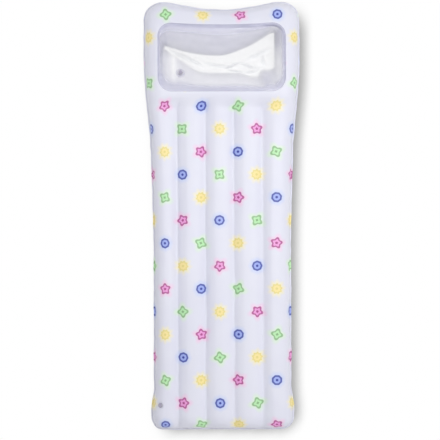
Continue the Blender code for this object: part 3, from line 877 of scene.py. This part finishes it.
def window_film(name, side):
    """Clear film from under the cut-out's rim down the slope and across the slack middle."""
    form = Form(sizes())
    around = perimeter(WINDOW_WIDE, WINDOW_HIGH)
    bm = bmesh.new()
    slack = bm.verts.layers.float.new("slack")
    # Per point: the film's own haze, and the painted shade that makes it denser and darker
    haze_and_painted_shade = bm.verts.layers.float.new("haze_and_painted_shade")
    made = bmesh.ops.create_circle(bm, cap_ends=False, segments=len(around), radius=1.0)
    ring = sorted(made["verts"], key=lambda v: math.atan2(v.co.y, v.co.x) % math.tau)
    lift_of = {}
    valve = valve_frame("head_valve")

    def lay(verts, point, share, lift, haze_and_painted_shade_of):
        for vert, (across, up) in zip(verts, around):
            vert.co = point(across, up)
            vert[slack] = share
            vert[haze_and_painted_shade] = haze_and_painted_shade_of(across, up, vert.co.x, vert.co.y)
            lift_of[vert] = lift(vert.co.x, vert.co.y)

    def lapped(lap):
        def point(across, up):
            x, y = form.window_point(across, up, lap)
            return x, y, form.height(x, y)
        return point

    def folds(climb):
        def lift(x, y):
            fold = noise.noise((x * 6.0, y * 52.0, 3.0)) + 0.6 * noise.noise((x * 17.0, y * 110.0, 5.0))
            return SLOPE_FOLD * fold * math.sin(math.pi * climb) ** 0.7
        return lift

    def wrinkles(share):
        def lift(x, y):
            wave = noise.noise((x * 15.0 + y * 9.0, y * 40.0 - x * 8.0, 6.0))
            small = noise.noise((x * 38.0 + y * 22.0, y * 105.0 - x * 20.0, 2.0))
            ridges = sum(segment_ridge(x, y, crease) for crease in CREASES)
            return (SLACK_WAVE * wave + SLACK_CRINKLE * small + ridges) * smooth(share * 3.0)
        return lift

    # The slack film's haze, with painted shade that makes it denser along each crease
    def haze_and_crease_shade(across, up, x, y):
        return SLACK_DENSITY + CREASE_SHADE * sum(segment_ridge(x, y, crease) for crease in CREASES)

    def middle(share):
        def point(across, up):
            x, y = form.inner_point(across, up)
            top, foot = form.inner_sides(x)
            y += ((top + foot) / 2 - y) * share
            return x * (1.0 - 0.02 * share), y, form.weld_height(y)
        return point

    lay(ring, lapped(FILM_LAP), 0.0, lambda x, y: 0.0, lambda across, up, x, y: 0.9)
    for step in range(SLOPE_RINGS + 1):
        climb = 1.0 - math.sin(math.pi / 2 * step / SLOPE_RINGS)
        ring = next_ring(bm, ring)
        lay(
            ring,
            lambda across, up: form.film_point(across, up, climb),
            0.0,
            folds(climb),
            lambda across, up, x, y: slope_painted_shade(side, across, up, climb, x, y),
        )
    for share in (0.02, 0.05, *((step + 1) / SLACK_RINGS for step in range(1, SLACK_RINGS))):
        ring = next_ring(bm, ring)
        lay(ring, middle(share), 1.0, wrinkles(share), haze_and_crease_shade)
    bmesh.ops.remove_doubles(bm, verts=ring, dist=0.0012)
    bm.normal_update()
    if sum(face.normal.z for face in bm.faces) < 0:
        bmesh.ops.reverse_faces(bm, faces=bm.faces[:])
        bm.normal_update()
    for vert in bm.verts:
        lift = lift_of[vert] * valve_calm(valve, vert.co.x, vert.co.y)
        vert.co -= vert.normal * (SHEET + LAYER_GAP)
        vert.co.z += lift * (side if vert[slack] > 0.5 else 1)
    if side > 0:
        valve_hole(bm, valve, form.slope_height)
    if side < 0:
        turn_over(bm, form)
    obj = add_piece(name, bm, "clear_film", ROOT)
    thicken(obj, FILM)
    return obj


def turned(profile):
    """A body of revolution about a valve's z, from a closed profile of radius and height."""
    bm = bmesh.new()
    verts = [bm.verts.new((radius, 0.0, z)) for radius, z in profile]
    edges = [bm.edges.new((verts[i - 1], verts[i])) for i in range(len(verts))]
    bmesh.ops.spin(
        bm,
        geom=verts + edges,
        cent=(0, 0, 0),
        axis=(0, 0, 1),
        angle=math.tau,
        steps=ROUND_STEPS,
        use_merge=True,
    )
    bmesh.ops.remove_doubles(bm, verts=bm.verts[:], dist=1e-6)
    bmesh.ops.dissolve_degenerate(bm, edges=bm.edges[:], dist=1e-6)
    bmesh.ops.recalc_face_normals(bm, faces=bm.faces[:])
    return bm


def round_off(bm, edges, width, segments=3):
    bmesh.ops.bevel(
        bm,
        geom=edges,
        offset=width,
        offset_type="OFFSET",
        affect="EDGES",
        segments=segments,
        profile=0.5,
        material=-1,
        clamp_overlap=True,
    )


def soften(bm, width, segments=3):
    """Rounds every edge that turns by more than 40 degrees."""
    sharp = [e for e in bm.edges if e.is_manifold and e.calc_face_angle() > math.radians(40)]
    round_off(bm, sharp, width, segments)
    bmesh.ops.dissolve_degenerate(bm, edges=bm.edges[:], dist=2e-6)


def set_in(bm, place):
    bmesh.ops.transform(bm, matrix=place, verts=bm.verts[:])


def rounded_bar(low, high, width):
    """A block with rounded edges, between two corners."""
    bm = bmesh.new()
    size = Vector(high) - Vector(low)
    centre = (Vector(high) + Vector(low)) / 2
    bmesh.ops.create_cube(bm, size=1.0, matrix=Matrix.Translation(centre) @ Matrix.Diagonal((*size, 1)))
    round_off(bm, bm.edges[:], width)
    return bm


def joined(base, tools):
    """One closed mesh of several that overlap."""
    objects = []
    for number, bm in enumerate([base, *tools]):
        mesh = bpy.data.meshes.new(f"part_{number}")
        bm.to_mesh(mesh)
        bm.free()
        obj = bpy.data.objects.new(mesh.name, mesh)
        bpy.context.scene.collection.objects.link(obj)
        objects.append(obj)
    first = objects[0]
    for tool in objects[1:]:
        union = first.modifiers.new(tool.name, "BOOLEAN")
        union.operation = "UNION"
        union.solver = "EXACT"
        union.object = tool
    graph = bpy.context.evaluated_depsgraph_get()
    result = bmesh.new()
    result.from_object(first, graph)
    for obj in objects:
        bpy.data.meshes.remove(obj.data)
    return result


def flange(place, height, disc_top):
    """The valve's disc, laid under the skin with two weld rings, and its sleeve."""
    wall = SLEEVE_RADIUS
    disc_foot = disc_top - FLANGE_DISC
    reach = [wall + (FLANGE_RADIUS - wall) * k / 12 for k in range(1, 13)]
    profile = [(SLEEVE_BORE, -SLEEVE_DEPTH), (wall, -SLEEVE_DEPTH), (wall, disc_foot)]
    profile += [(radius, disc_foot) for radius in reach]
    for number, radius in reversed(list(enumerate(reach))):
        bead = 0.00012 if number in (5, 8) else 0.0
        profile.append((radius, disc_top + bead))
    profile += [(wall, disc_top), (wall, SLEEVE_RISE), (SLEEVE_BORE, SLEEVE_RISE)]
    bm = turned(profile)
    for vert in bm.verts:
        radius = math.hypot(vert.co.x, vert.co.y)
        if radius > wall + 1e-5:
            lifted = place.inverted() @ on_surface(place, vert.co.x, vert.co.y, height)
            vert.co.z += lifted.z
    rims = [e for e in bm.edges if all(abs(v.co.z - SLEEVE_RISE) < 1e-6 for v in e.verts)]
    rims = [e for e in rims if e.calc_face_angle() > 1.0]
    round_off(bm, rims, 0.0003)
    set_in(bm, place)
    return bm


def stem(place):
    """The tube that pushes in: a rounded lip, the plug's bore, and three grip grooves on its neck."""
    radius = SLEEVE_BORE - STEM_CLEARANCE
    bore_foot = LIP_TOP - PLUG_BORE_DEPTH
    profile = [(AIRWAY, -STEM_DEPTH), (radius - 0.0006, -STEM_DEPTH), (radius, -STEM_DEPTH + 0.0012)]
    for level in GRIP_LEVELS:
        profile += [(radius, level), (radius - GRIP_DEPTH, level + 0.0003)]
        profile += [(radius - GRIP_DEPTH, level + 0.0010), (radius, level + 0.0013)]
    profile += [(radius, LIP_FOOT), (SLEEVE_RADIUS, LIP_FOOT), (SLEEVE_RADIUS, LIP_TOP)]
    profile += [(PLUG_BORE + 0.0009, LIP_TOP), (PLUG_BORE, LIP_TOP - 0.0007)]
    profile += [(PLUG_BORE, bore_foot), (AIRWAY, bore_foot)]
    bm = turned(profile)
    soften(bm, 0.00025)
    set_in(bm, place)
    return bm


def plug(place):
    """Stopper, dished cap, strap with its hinge, and a finger tab with three grip ribs."""
    cap_top = CAP_FOOT + CAP_HEIGHT
    strap_top = CAP_FOOT + STRAP_THICKNESS
    tip = CAP_FOOT - STOPPER_LENGTH
    bead = tip + 0.0013
    profile = [
        (0.0, tip),
        (STOPPER_TIP_RADIUS - 0.0005, tip),
        (STOPPER_TIP_RADIUS, tip + 0.0005),
        (STOPPER_TIP_RADIUS + 0.0004, bead),
        (STOPPER_TIP_RADIUS + 0.0002, bead + 0.0008),
        (STOPPER_TOP_RADIUS, CAP_FOOT),
        (CAP_RADIUS, CAP_FOOT),
        (CAP_RADIUS, cap_top),
        (CAP_RADIUS * 0.68, cap_top),
        (CAP_RADIUS * 0.60, cap_top - 0.0005),
        (0.0, cap_top - 0.0006),
    ]
    cap = turned(profile)
    soften(cap, 0.0004)
    half = STRAP_WIDTH / 2
    bar_foot = CAP_FOOT + 0.0001
    strap = rounded_bar((CAP_RADIUS - CAP_HEIGHT, -half, bar_foot), (HINGE_REACH, half, strap_top), 0.00022)
    knuckle = bmesh.new()
    turn = Matrix.Translation((HINGE_REACH, 0, CAP_FOOT + STRAP_THICKNESS / 2))
    turn = turn @ Matrix.Rotation(math.pi / 2, 4, "X")
    bmesh.ops.create_cone(
        knuckle,
        cap_ends=True,
        segments=24,
        radius1=KNUCKLE_RADIUS,
        radius2=KNUCKLE_RADIUS,
        depth=STRAP_WIDTH - 0.0006,
        matrix=turn,
    )
    half = TAB_WIDTH / 2
    tab = rounded_bar((-TAB_REACH, -half, bar_foot), (CAP_HEIGHT - CAP_RADIUS, half, strap_top), 0.0003)
    ribs = []
    for step in range(3):
        x = -TAB_REACH + RIB_PITCH + step * RIB_PITCH
        low = (x, -half * 0.8, strap_top - RIB_RISE)
        high = (x + RIB_WIDTH, half * 0.8, strap_top + RIB_RISE)
        ribs.append(rounded_bar(low, high, 0.00008))
    bm = joined(cap, [strap, knuckle, tab, *ribs])
    set_in(bm, place)
    return bm


def flap(place):
    """A thin disc, cut straight at its hinge, with a rounded edge."""
    top = -STEM_DEPTH - LAYER_GAP
    profile = [(0.0, top - FLAP_THICKNESS), (FLAP_RADIUS, top - FLAP_THICKNESS)]
    profile += [(FLAP_RADIUS, top), (AIRWAY * 0.9, top), (AIRWAY * 0.8, top - 0.0001), (0.0, top - 0.0001)]
    bm = turned(profile)
    cut = bmesh.ops.bisect_plane(
        bm,
        geom=bm.verts[:] + bm.edges[:] + bm.faces[:],
        plane_co=(FLAP_HINGE_REACH, 0, 0),
        plane_no=(1, 0, 0),
        clear_outer=True,
    )
    edges = [part for part in cut["geom_cut"] if isinstance(part, bmesh.types.BMEdge)]
    bmesh.ops.edgenet_fill(bm, edges=edges)
    bmesh.ops.delete(bm, geom=[e for e in bm.edges if e.is_wire], context="EDGES")
    bmesh.ops.recalc_face_normals(bm, faces=bm.faces[:])
    soften(bm, 0.0002, 2)
    set_in(bm, place)
    return bm


def strip_points(bm, steps, levels):
    """Makes a strip's grid and gives its points: their place along it, their level and their weld tab."""
    bmesh.ops.create_grid(bm, x_segments=steps, y_segments=levels + 2, size=0.5)
    for vert in bm.verts:
        row = round((vert.co.y + 0.5) * (levels + 2))
        tab = WEB_WELD / 2 if row in (0, levels + 2) else 0.0
        yield vert, vert.co.x, clamp((row - 1) / levels), tab


def inner_faces(form, x, y, gap):
    """z of the two skins' inner faces at a point, less a gap."""
    top = form.height(x, y) + form.relief(x, y, TOP_SEED) - SHEET - gap
    foot = form.thickness(y) - form.height(x, y) - form.relief(x, y, BOTTOM_SEED) + SHEET + gap
    return top, foot


def strip(name, bm):
    """Finishes a strip that is welded to both skins."""
    bmesh.ops.recalc_face_normals(bm, faces=bm.faces[:])
    obj = add_piece(name, bm, "web_vinyl", ROOT)
    thicken(obj, WEB, 0.0)
    return obj


def tie_web(number):
    """A strip from valley to valley, its long edges folded over where they are welded."""
    form = Form(sizes())
    x = (number - 2.5) * form.pitch
    low, high = FOOT_Y + WEB_FROM_FOOT, HEAD_Y - WEB_FROM_HEAD
    bm = bmesh.new()
    for vert, along, level, tab in strip_points(bm, WEB_STEPS, WEB_LEVELS):
        share = along + 0.5
        y = low + (high - low) * share
        top, foot = inner_faces(form, x, y, LAYER_GAP)
        bow = WEB_BOW * (4 * level * (1 - level)) * (2 * share - 1) ** 9
        wave = WEB_WAVE * noise.noise((y * 14.0, level * 2.0, number * 5.0)) * math.sin(math.pi * level)
        vert.co = (x + wave + tab + form.drift(x, y), y - bow, foot + (top - foot) * level)
    tall = 2 * (form.height(x, 0.0) - form.body_thickness / 2) + WEB_WELD
    return strip(f"web_{number}", bm)


def bulkhead():
    """A strip across the mattress that parts the ring's air from the tubes' air."""
    form = Form(sizes())
    y = HEAD_Y - CHANNEL_FROM_HEAD
    edge = form.half_width(y) - EDGE_WELD
    bm = bmesh.new()
    for vert, along, level, tab in strip_points(bm, BULKHEAD_STEPS, BULKHEAD_LEVELS):
        x = edge * math.sin(math.pi * along)
        here = y - tab
        top, foot = inner_faces(form, x, here, LAYER_GAP * 2)
        top = max(top, form.thickness(here) / 2 + WEB)
        foot = min(foot, form.thickness(here) / 2 - WEB)
        billow = BULKHEAD_BILLOW * math.sin(math.pi * level) * noise.noise((x * 11.0, level, 3.0))
        vert.co = (x, here + billow, foot + (top - foot) * level)
    area = sum(face.calc_area() for face in bm.faces)
    return strip("bulkhead", bm)


class Nodes:
    """Builds one material's nodes in a few words."""

    def __init__(self, name):
        self.material = bpy.data.materials.new(f"{name}_finish")
        self.material.use_nodes = True
        self.tree = self.material.node_tree
        self.shader = self.tree.nodes["Principled BSDF"]

    def add(self, kind, **settings):
        node = self.tree.nodes.new(kind)
        for key, value in settings.items():
            setattr(node, key, value)
        return node

    def put(self, value, socket):
        if isinstance(value, bpy.types.NodeSocket):
            self.tree.links.new(value, socket)
        elif value is not None:
            socket.default_value = value

    def math(self, operation, first, second=None, third=None):
        node = self.add("ShaderNodeMath", operation=operation)
        for socket, value in zip(node.inputs, (first, second, third)):
            self.put(value, socket)
        return node.outputs[0]

    def times(self, first, second):
        return self.math("MULTIPLY", first, second)

    def plus(self, first, second):
        return self.math("ADD", first, second)

    def step(self, value, low, high, start=0.0, end=1.0):
        node = self.add("ShaderNodeMapRange", interpolation_type="SMOOTHSTEP")
        for socket, number in zip(node.inputs, (value, low, high, start, end)):
            self.put(number, socket)
        return node.outputs[0]

    def mix(self, share, first, second, blend="MIX"):
        node = self.add("ShaderNodeMix", data_type="RGBA", blend_type=blend)
        self.put(share, node.inputs["Factor"])
        for socket, value in ((node.inputs[6], first), (node.inputs[7], second)):
            self.put((*value, 1.0) if isinstance(value, tuple) else value, socket)
        return node.outputs[2]

    def noise(self, vector, scale, detail=2.0, roughness=0.5):
        node = self.add("ShaderNodeTexNoise")
        self.put(vector, node.inputs["Vector"])
        node.inputs["Scale"].default_value = scale
        node.inputs["Detail"].default_value = detail
        node.inputs["Roughness"].default_value = roughness
        return node.outputs["Fac"]

    def ramp(self, value, stops, interpolation="CONSTANT"):
        node = self.add("ShaderNodeValToRGB")
        node.color_ramp.interpolation = interpolation
        while len(node.color_ramp.elements) < len(stops):
            node.color_ramp.elements.new(0.5)
        for element, (place, colour) in zip(node.color_ramp.elements, stops):
            element.position = place
            element.color = (*colour, 1.0)
        self.put(value, node.inputs[0])
        return node.outputs[0]

    def pick(self, key, choices):
        """One of four greys or colours, by a number from 0 to 1."""
        stops = [(k / 4, c if isinstance(c, tuple) else (c,) * 3) for k, c in enumerate(choices)]
        return self.ramp(key, stops)

    def bump(self, height, strength, distance):
        node = self.add("ShaderNodeBump")
        node.inputs["Strength"].default_value = strength
        node.inputs["Distance"].default_value = distance
        self.put(height, node.inputs["Height"])
        self.put(node.outputs[0], self.shader.inputs["Normal"])

    def split(self, vector):
        node = self.add("ShaderNodeSeparateXYZ")
        self.put(vector, node.inputs[0])
        return node.outputs

    def join(self, x, y, z=0.0):
        node = self.add("ShaderNodeCombineXYZ")
        for socket, value in zip(node.inputs, (x, y, z)):
            self.put(value, socket)
        return node.outputs[0]

    def coordinates(self):
        return self.add("ShaderNodeTexCoord").outputs["Object"]

    def attribute(self, name):
        return self.add("ShaderNodeAttribute", attribute_name=name).outputs["Fac"]

    def set(self, **values):
        for name, value in values.items():
            self.put(value, self.shader.inputs[name.replace("_", " ")])


def tint(colour, towards, share):
    return tuple(a + (b - a) * share for a, b in zip(colour, towards))


def vinyl(nodes, colour):
    """Sheet colour with calendered vinyl's faint clouds, a greyer edge weld deepened as painted shade at the
    edge, and creases at seams.
    """
    place = nodes.coordinates()
    cloud = nodes.step(nodes.noise(place, 5.0, 3.0), 0.35, 0.65)
    grain = nodes.noise(place, 900.0, 1.0)
    ripple = nodes.noise(place, 26.0, 3.0, 0.6)
    seam = nodes.split(nodes.add("ShaderNodeUVMap", uv_map="seam").outputs[0])
    stretched = nodes.join(nodes.times(seam[0], 130.0), nodes.times(seam[1], 28.0))
    pleats = nodes.noise(stretched, 1.0, 3.0, 0.55)
    near = nodes.math("EXPONENT", nodes.times(seam[1], -75.0))
    height = nodes.math("MULTIPLY_ADD", ripple, 5.0, nodes.times(grain, 0.5))
    height = nodes.plus(height, nodes.times(nodes.times(pleats, near), 9.0))
    nodes.bump(height, 0.22, 0.0004)
    base = nodes.mix(cloud, tint(colour, (0.6, 0.6, 0.8), 0.05), tint(colour, (1.0, 1.0, 1.0), 0.05))
    # The edge weld's own greyer tone, deepened as painted shade along the outline's edge
    weld = nodes.times(nodes.attribute("weld"), 0.14)
    return nodes.mix(weld, base, tint(colour, (0.30, 0.29, 0.42), 0.75))


def lattice(nodes, along, up, row_pitch, column_pitch):
    """Half-drop repeat: a motif's number, the point's place in its cell, and the cell's turn."""
    row_place = nodes.math("DIVIDE", up, row_pitch)
    row = nodes.math("FLOOR", row_place)
    odd = nodes.math("FLOORED_MODULO", row, 2.0)
    column_place = nodes.math("MULTIPLY_ADD", odd, 0.5, nodes.math("DIVIDE", along, column_pitch))
    column = nodes.math("FLOOR", column_place)
    local_x = nodes.times(nodes.math("SUBTRACT", nodes.math("FRACT", column_place), 0.5), column_pitch)
    local_y = nodes.times(nodes.math("SUBTRACT", nodes.math("FRACT", row_place), 0.5), row_pitch)
    pairs = nodes.math("FLOOR", nodes.times(row, 0.5))
    order = nodes.plus(nodes.plus(column, pairs), nodes.times(odd, 2.0))
    kind = nodes.math("FLOORED_MODULO", order, 4.0)
    spin = nodes.math("MULTIPLY_ADD", column, 1.3, nodes.times(row, 0.7))
    return nodes.math("MULTIPLY_ADD", kind, 0.25, 0.125), local_x, local_y, spin


def printed_vinyl():
    """White vinyl with a print of small flowers, rings, clovers and suns in soft halos."""
    nodes = Nodes("printed_vinyl")
    given = colours()
    uv = nodes.split(nodes.add("ShaderNodeUVMap", uv_map="print").outputs[0])
    up = nodes.math("SUBTRACT", uv[1], PRINT_SHIFT)
    key, local_x, local_y, spin = lattice(nodes, uv[0], up, PRINT_ROW, PRINT_COLUMN)
    square = nodes.plus(nodes.times(local_x, local_x), nodes.times(local_y, local_y))
    reach = nodes.math("SQRT", square)
    turn = nodes.plus(nodes.math("ARCTAN2", local_y, local_x), spin)
    lobes = nodes.pick(key, [number / 10 for number in LOBES])
    swing = nodes.pick(key, SWINGS)
    wave = nodes.math("COSINE", nodes.times(turn, nodes.times(lobes, 10.0)))
    outline = nodes.times(nodes.math("MULTIPLY_ADD", wave, swing, 1.0), MOTIF_RADIUS)
    bare = nodes.math("GREATER_THAN", uv[1], PRINT_END)
    share = nodes.math("MULTIPLY_ADD", bare, 5.0, nodes.math("DIVIDE", reach, outline))

    rim = nodes.pick(key, [tuple(c) for c in (given.pink, given.blue, given.green, given.yellow)])
    fill = nodes.pick(key, FILLS)
    halo = nodes.pick(key, HALOS)
    colour = nodes.mix(nodes.step(share, 0.85, 2.05, 0.78, 0.0), vinyl(nodes, tuple(given.vinyl)), halo)
    colour = nodes.mix(nodes.step(share, 0.94, 1.08, 0.92, 0.0), colour, rim)
    colour = nodes.mix(nodes.step(share, 0.62, 0.71, 1.0, 0.0), colour, fill)
    colour = nodes.mix(nodes.step(share, 0.21, 0.29, 1.0, 0.0), colour, rim)
    nodes.set(Base_Color=colour, Roughness=0.42, IOR=1.42, Coat_Weight=0.04, Coat_Roughness=0.20)
    return nodes.material


def plain_vinyl():
    nodes = Nodes("plain_vinyl")
    base = vinyl(nodes, tuple(colours().vinyl))
    nodes.set(Base_Color=base, Roughness=0.42, IOR=1.42, Coat_Weight=0.04, Coat_Roughness=0.22)
    return nodes.material


def clear_film():
    """Film with painted shade that greys the slope it is seen down, and painted light that shows white where
    it lies slack.
    """
    nodes = Nodes("clear_film")
    place = nodes.coordinates()
    film = tuple(colours().film)
    cloud = nodes.step(nodes.noise(place, 12.0, 3.0), 0.3, 0.7)
    slack = nodes.attribute("slack")
    slope = nodes.mix(cloud, tint(film, (0.3, 0.3, 0.5), 0.12), tint(film, (1, 1, 1), 0.10))
    # Painted shade and painted light: the slope's darker film colour and the slack middle's lighter one
    base = nodes.mix(slack, slope, tuple(colours().slack))
    # Alpha from the film's own haze and its painted shade
    nodes.set(Base_Color=base, Roughness=0.16, IOR=1.45, Alpha=nodes.attribute("haze_and_painted_shade"))
    nodes.bump(nodes.noise(place, 44.0, 3.0), 0.25, 0.0010)
    return nodes.material


def web_vinyl():
    nodes = Nodes("web_vinyl")
    place = nodes.coordinates()
    cloud = nodes.step(nodes.noise(place, 22.0, 3.0), 0.35, 0.65)
    nodes.set(Base_Color=nodes.mix(cloud, (0.70, 0.70, 0.79), (0.77, 0.77, 0.84)), Roughness=0.45, IOR=1.5)
    nodes.bump(nodes.noise(place, 300.0, 2.0), 0.15, 0.0003)
    return nodes.material


def moulded_vinyl(name, colour, alpha, roughness):
    """Soft moulded vinyl with a faint orange peel and scuffed patches."""
    nodes = Nodes(name)
    place = nodes.coordinates()
    scuff = nodes.step(nodes.noise(place, 420.0, 3.0), 0.55, 0.72)
    base = nodes.mix(nodes.times(scuff, 0.35), colour, tint(colour, (0.8, 0.8, 0.85), 0.3))
    nodes.set(Base_Color=base, Roughness=roughness, IOR=1.5, Alpha=alpha)
    nodes.bump(nodes.noise(place, 1400.0, 2.0), 0.15, 0.0002)
    return nodes.material


FINISHES = {}


def material(name):
    """A finish by its slot's name, made once."""
    makers = {
        "printed_vinyl": printed_vinyl,
        "plain_vinyl": plain_vinyl,
        "clear_film": clear_film,
        "web_vinyl": web_vinyl,
        "valve_clear": lambda: moulded_vinyl(name, tuple(colours().valve), 0.50, 0.22),
        "valve_plug": lambda: moulded_vinyl(name, tuple(colours().plug), 1.0, 0.35),
    }
    if name not in FINISHES:
        FINISHES[name] = makers[name]()
    return FINISHES[name]


class MATTRESS_OT_skins(Operator):
    """Model the printed top skin and the plain bottom skin"""

    bl_idname = "mattress.skins"
    bl_label = "Skins"

    def execute(self, context):
        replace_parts(skin("top_skin", 1, "printed_vinyl"), "top_sheet")
        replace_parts(skin("bottom_skin", -1, "plain_vinyl"), "bottom_sheet")
        return {"FINISHED"}


class MATTRESS_OT_window(Operator):
    """Model the two clear films of the window"""

    bl_idname = "mattress.window"
    bl_label = "Window"

    def execute(self, context):
        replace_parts(window_film("window_film_top", 1), "window_top_film")
        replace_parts(window_film("window_film_bottom", -1), "window_bottom_film")
        return {"FINISHED"}


class MATTRESS_OT_webs(Operator):
    """Model the four tie webs and the bulkhead inside the mattress"""

    bl_idname = "mattress.webs"
    bl_label = "Webs"

    def execute(self, context):
        for number in range(1, 5):
            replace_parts(tie_web(number), f"tie_web_{number}")
        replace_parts(bulkhead(), "head_bulkhead")
        return {"FINISHED"}


class MATTRESS_OT_valves(Operator):
    """Model the two push-in valves"""

    bl_idname = "mattress.valves"
    bl_label = "Valves"

    def execute(self, context):
        form = Form(sizes())
        valves = (
            ("body_valve", form.height, -SHEET - LAYER_GAP),
            ("head_valve", form.slope_height, -FILM - LAYER_GAP),
        )
        makers = (
            ("stem", stem, "valve_clear"),
            ("plug", plug, "valve_plug"),
            ("flap", flap, "valve_clear"),
        )
        for name, height, disc_top in valves:
            place = valve_frame(name)
            disc = add_piece(f"{name}_disc", flange(place, height, disc_top), "valve_clear", ROOT)
            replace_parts(disc, f"{name}_flange")
            for part, maker, finish in makers:
                obj = add_piece(f"{name}_{part}_fine", maker(place), finish, f"{name}_{part}")
                obj.data.set_sharp_from_angle(angle=math.radians(50))
                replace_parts(obj, f"{name}_{part}")
        return {"FINISHED"}


class MATTRESS_OT_stage(Operator):
    """Make the floor, the lights, the world and the camera"""

    bl_idname = "mattress.stage"
    bl_label = "Stage"

    def execute(self, context):
        floor()
        for name, place, width, length, power in LAMPS:
            lamp(name, place, width, length, power)
        context.scene.world = white_world()
        context.scene.view_settings.view_transform = "Standard"
        context.scene.camera = camera()
        return {"FINISHED"}


def camera():
    """Looks straight down from far above, with the outline as large as in the photograph."""
    data = bpy.data.cameras.new("Camera")
    data.sensor_width = 36.0
    data.lens = data.sensor_width * (CAMERA_PLACE[2] - OUTLINE_LEVEL) / PICTURE_WIDTH
    data.clip_end = 100.0
    obj = bpy.data.objects.new("Camera", data)
    obj.location = CAMERA_PLACE
    obj.rotation_euler = (0.0, 0.0, math.radians(CAMERA_TURN))
    bpy.context.scene.collection.objects.link(obj)
    return obj


def seen_directly(nodes):
    """1 for rays that look at the background straight, in a gloss or through a clear film."""
    path = nodes.add("ShaderNodeLightPath").outputs
    seen = nodes.math("MAXIMUM", path["Is Camera Ray"], path["Is Glossy Ray"])
    return nodes.math("MAXIMUM", seen, path["Is Transmission Ray"])


def under_window(nodes):
    """1 on the ground that light reaches through the clear window, 0 elsewhere."""
    place = nodes.split(nodes.coordinates())
    across = nodes.step(nodes.math("ABSOLUTE", place[0]), 0.255, 0.285, 1.0, 0.0)
    from_middle = nodes.math("ABSOLUTE", nodes.math("SUBTRACT", place[1], HEAD_Y - WINDOW_FROM_HEAD))
    return nodes.times(across, nodes.step(from_middle, 0.135, 0.165, 1.0, 0.0))


def floor():
    """White paper on which the mattress keeps a soft shadow at its right and foot sides."""
    bm = bmesh.new()
    bmesh.ops.create_grid(bm, x_segments=8, y_segments=8, size=8.0)
    mesh = bpy.data.meshes.new("Floor")
    bm.to_mesh(mesh)
    bm.free()
    obj = bpy.data.objects.new("Floor", mesh)
    bpy.context.scene.collection.objects.link(obj)
    nodes = Nodes("floor")
    nodes.set(Base_Color=(0.88, 0.88, 0.89, 1.0), Roughness=0.9)
    shade = nodes.add("ShaderNodeAmbientOcclusion", samples=16)
    shade.inputs["Distance"].default_value = SHADOW_REACH
    nodes.put(nodes.join(-0.60, 0.45, 0.66), shade.inputs["Normal"])
    light = nodes.math("MAXIMUM", shade.outputs["AO"], under_window(nodes))
    tone = nodes.ramp(light, [(place, (grey, grey, grey)) for place, grey in SHADOW], "LINEAR")
    glow = nodes.add("ShaderNodeEmission")
    nodes.put(tone, glow.inputs["Color"])
    mixer = nodes.add("ShaderNodeMixShader")
    nodes.put(seen_directly(nodes), mixer.inputs[0])
    nodes.put(nodes.shader.outputs[0], mixer.inputs[1])
    nodes.put(glow.outputs[0], mixer.inputs[2])
    nodes.put(mixer.outputs[0], nodes.tree.nodes["Material Output"].inputs["Surface"])
    mesh.materials.append(nodes.material)


def lamp(name, place, width, length, power):
    """A soft box that faces the mattress's long middle line, or its middle where it stands past an end."""
    data = bpy.data.lights.new(name, "AREA")
    data.shape = "RECTANGLE"
    data.size = width
    data.size_y = length
    data.energy = power
    obj = bpy.data.objects.new(name, data)
    obj.location = place
    obj.rotation_mode = "QUATERNION"
    aim = Vector((0.0, min(max(place[1], -0.5), 0.5), 0.0))
    obj.rotation_quaternion = (Vector(place) - aim).to_track_quat("Z", "Y")
    bpy.context.scene.collection.objects.link(obj)


def white_world():
    """White where the camera sees it, and a soft even light on the mattress."""
    world = bpy.data.worlds.new("World")
    world.use_nodes = True
    tree = world.node_tree
    background = tree.nodes["Background"]
    path = tree.nodes.new("ShaderNodeLightPath")
    mix = tree.nodes.new("ShaderNodeMix")
    mix.data_type = "FLOAT"
    mix.inputs[2].default_value = WORLD_LIGHT
    mix.inputs[3].default_value = 1.0
    tree.links.new(path.outputs["Is Camera Ray"], mix.inputs[0])
    tree.links.new(mix.outputs[0], background.inputs["Strength"])
    background.inputs["Color"].default_value = (1.0, 1.0, 1.0, 1.0)
    return world


STAGES = ("skins", "window", "webs", "valves", "stage")


class MATTRESS_PT_panel(Panel):
    """Lists the steps in the sidebar."""

    bl_label = "Pool Air Mattress"
    bl_idname = "MATTRESS_PT_panel"
    bl_space_type = "VIEW_3D"
    bl_region_type = "UI"
    bl_category = "Mattress"

    def draw(self, context):
        for stage in STAGES:
            self.layout.operator(f"mattress.{stage}")


CLASSES = (
    MattressSizes,
    MattressColours,
    MATTRESS_OT_skins,
    MATTRESS_OT_window,
    MATTRESS_OT_webs,
    MATTRESS_OT_valves,
    MATTRESS_OT_stage,
    MATTRESS_PT_panel,
)


def register():
    for cls in CLASSES:
        bpy.utils.register_class(cls)
    bpy.types.Scene.mattress_sizes = PointerProperty(type=MattressSizes)
    bpy.types.Scene.mattress_colours = PointerProperty(type=MattressColours)


def unregister():
    del bpy.types.Scene.mattress_colours
    del bpy.types.Scene.mattress_sizes
    for cls in reversed(CLASSES):
        bpy.utils.unregister_class(cls)


def main():
    register()
    for stage in STAGES:
        getattr(bpy.ops.mattress, stage)()


if __name__ == "__main__":
    main()
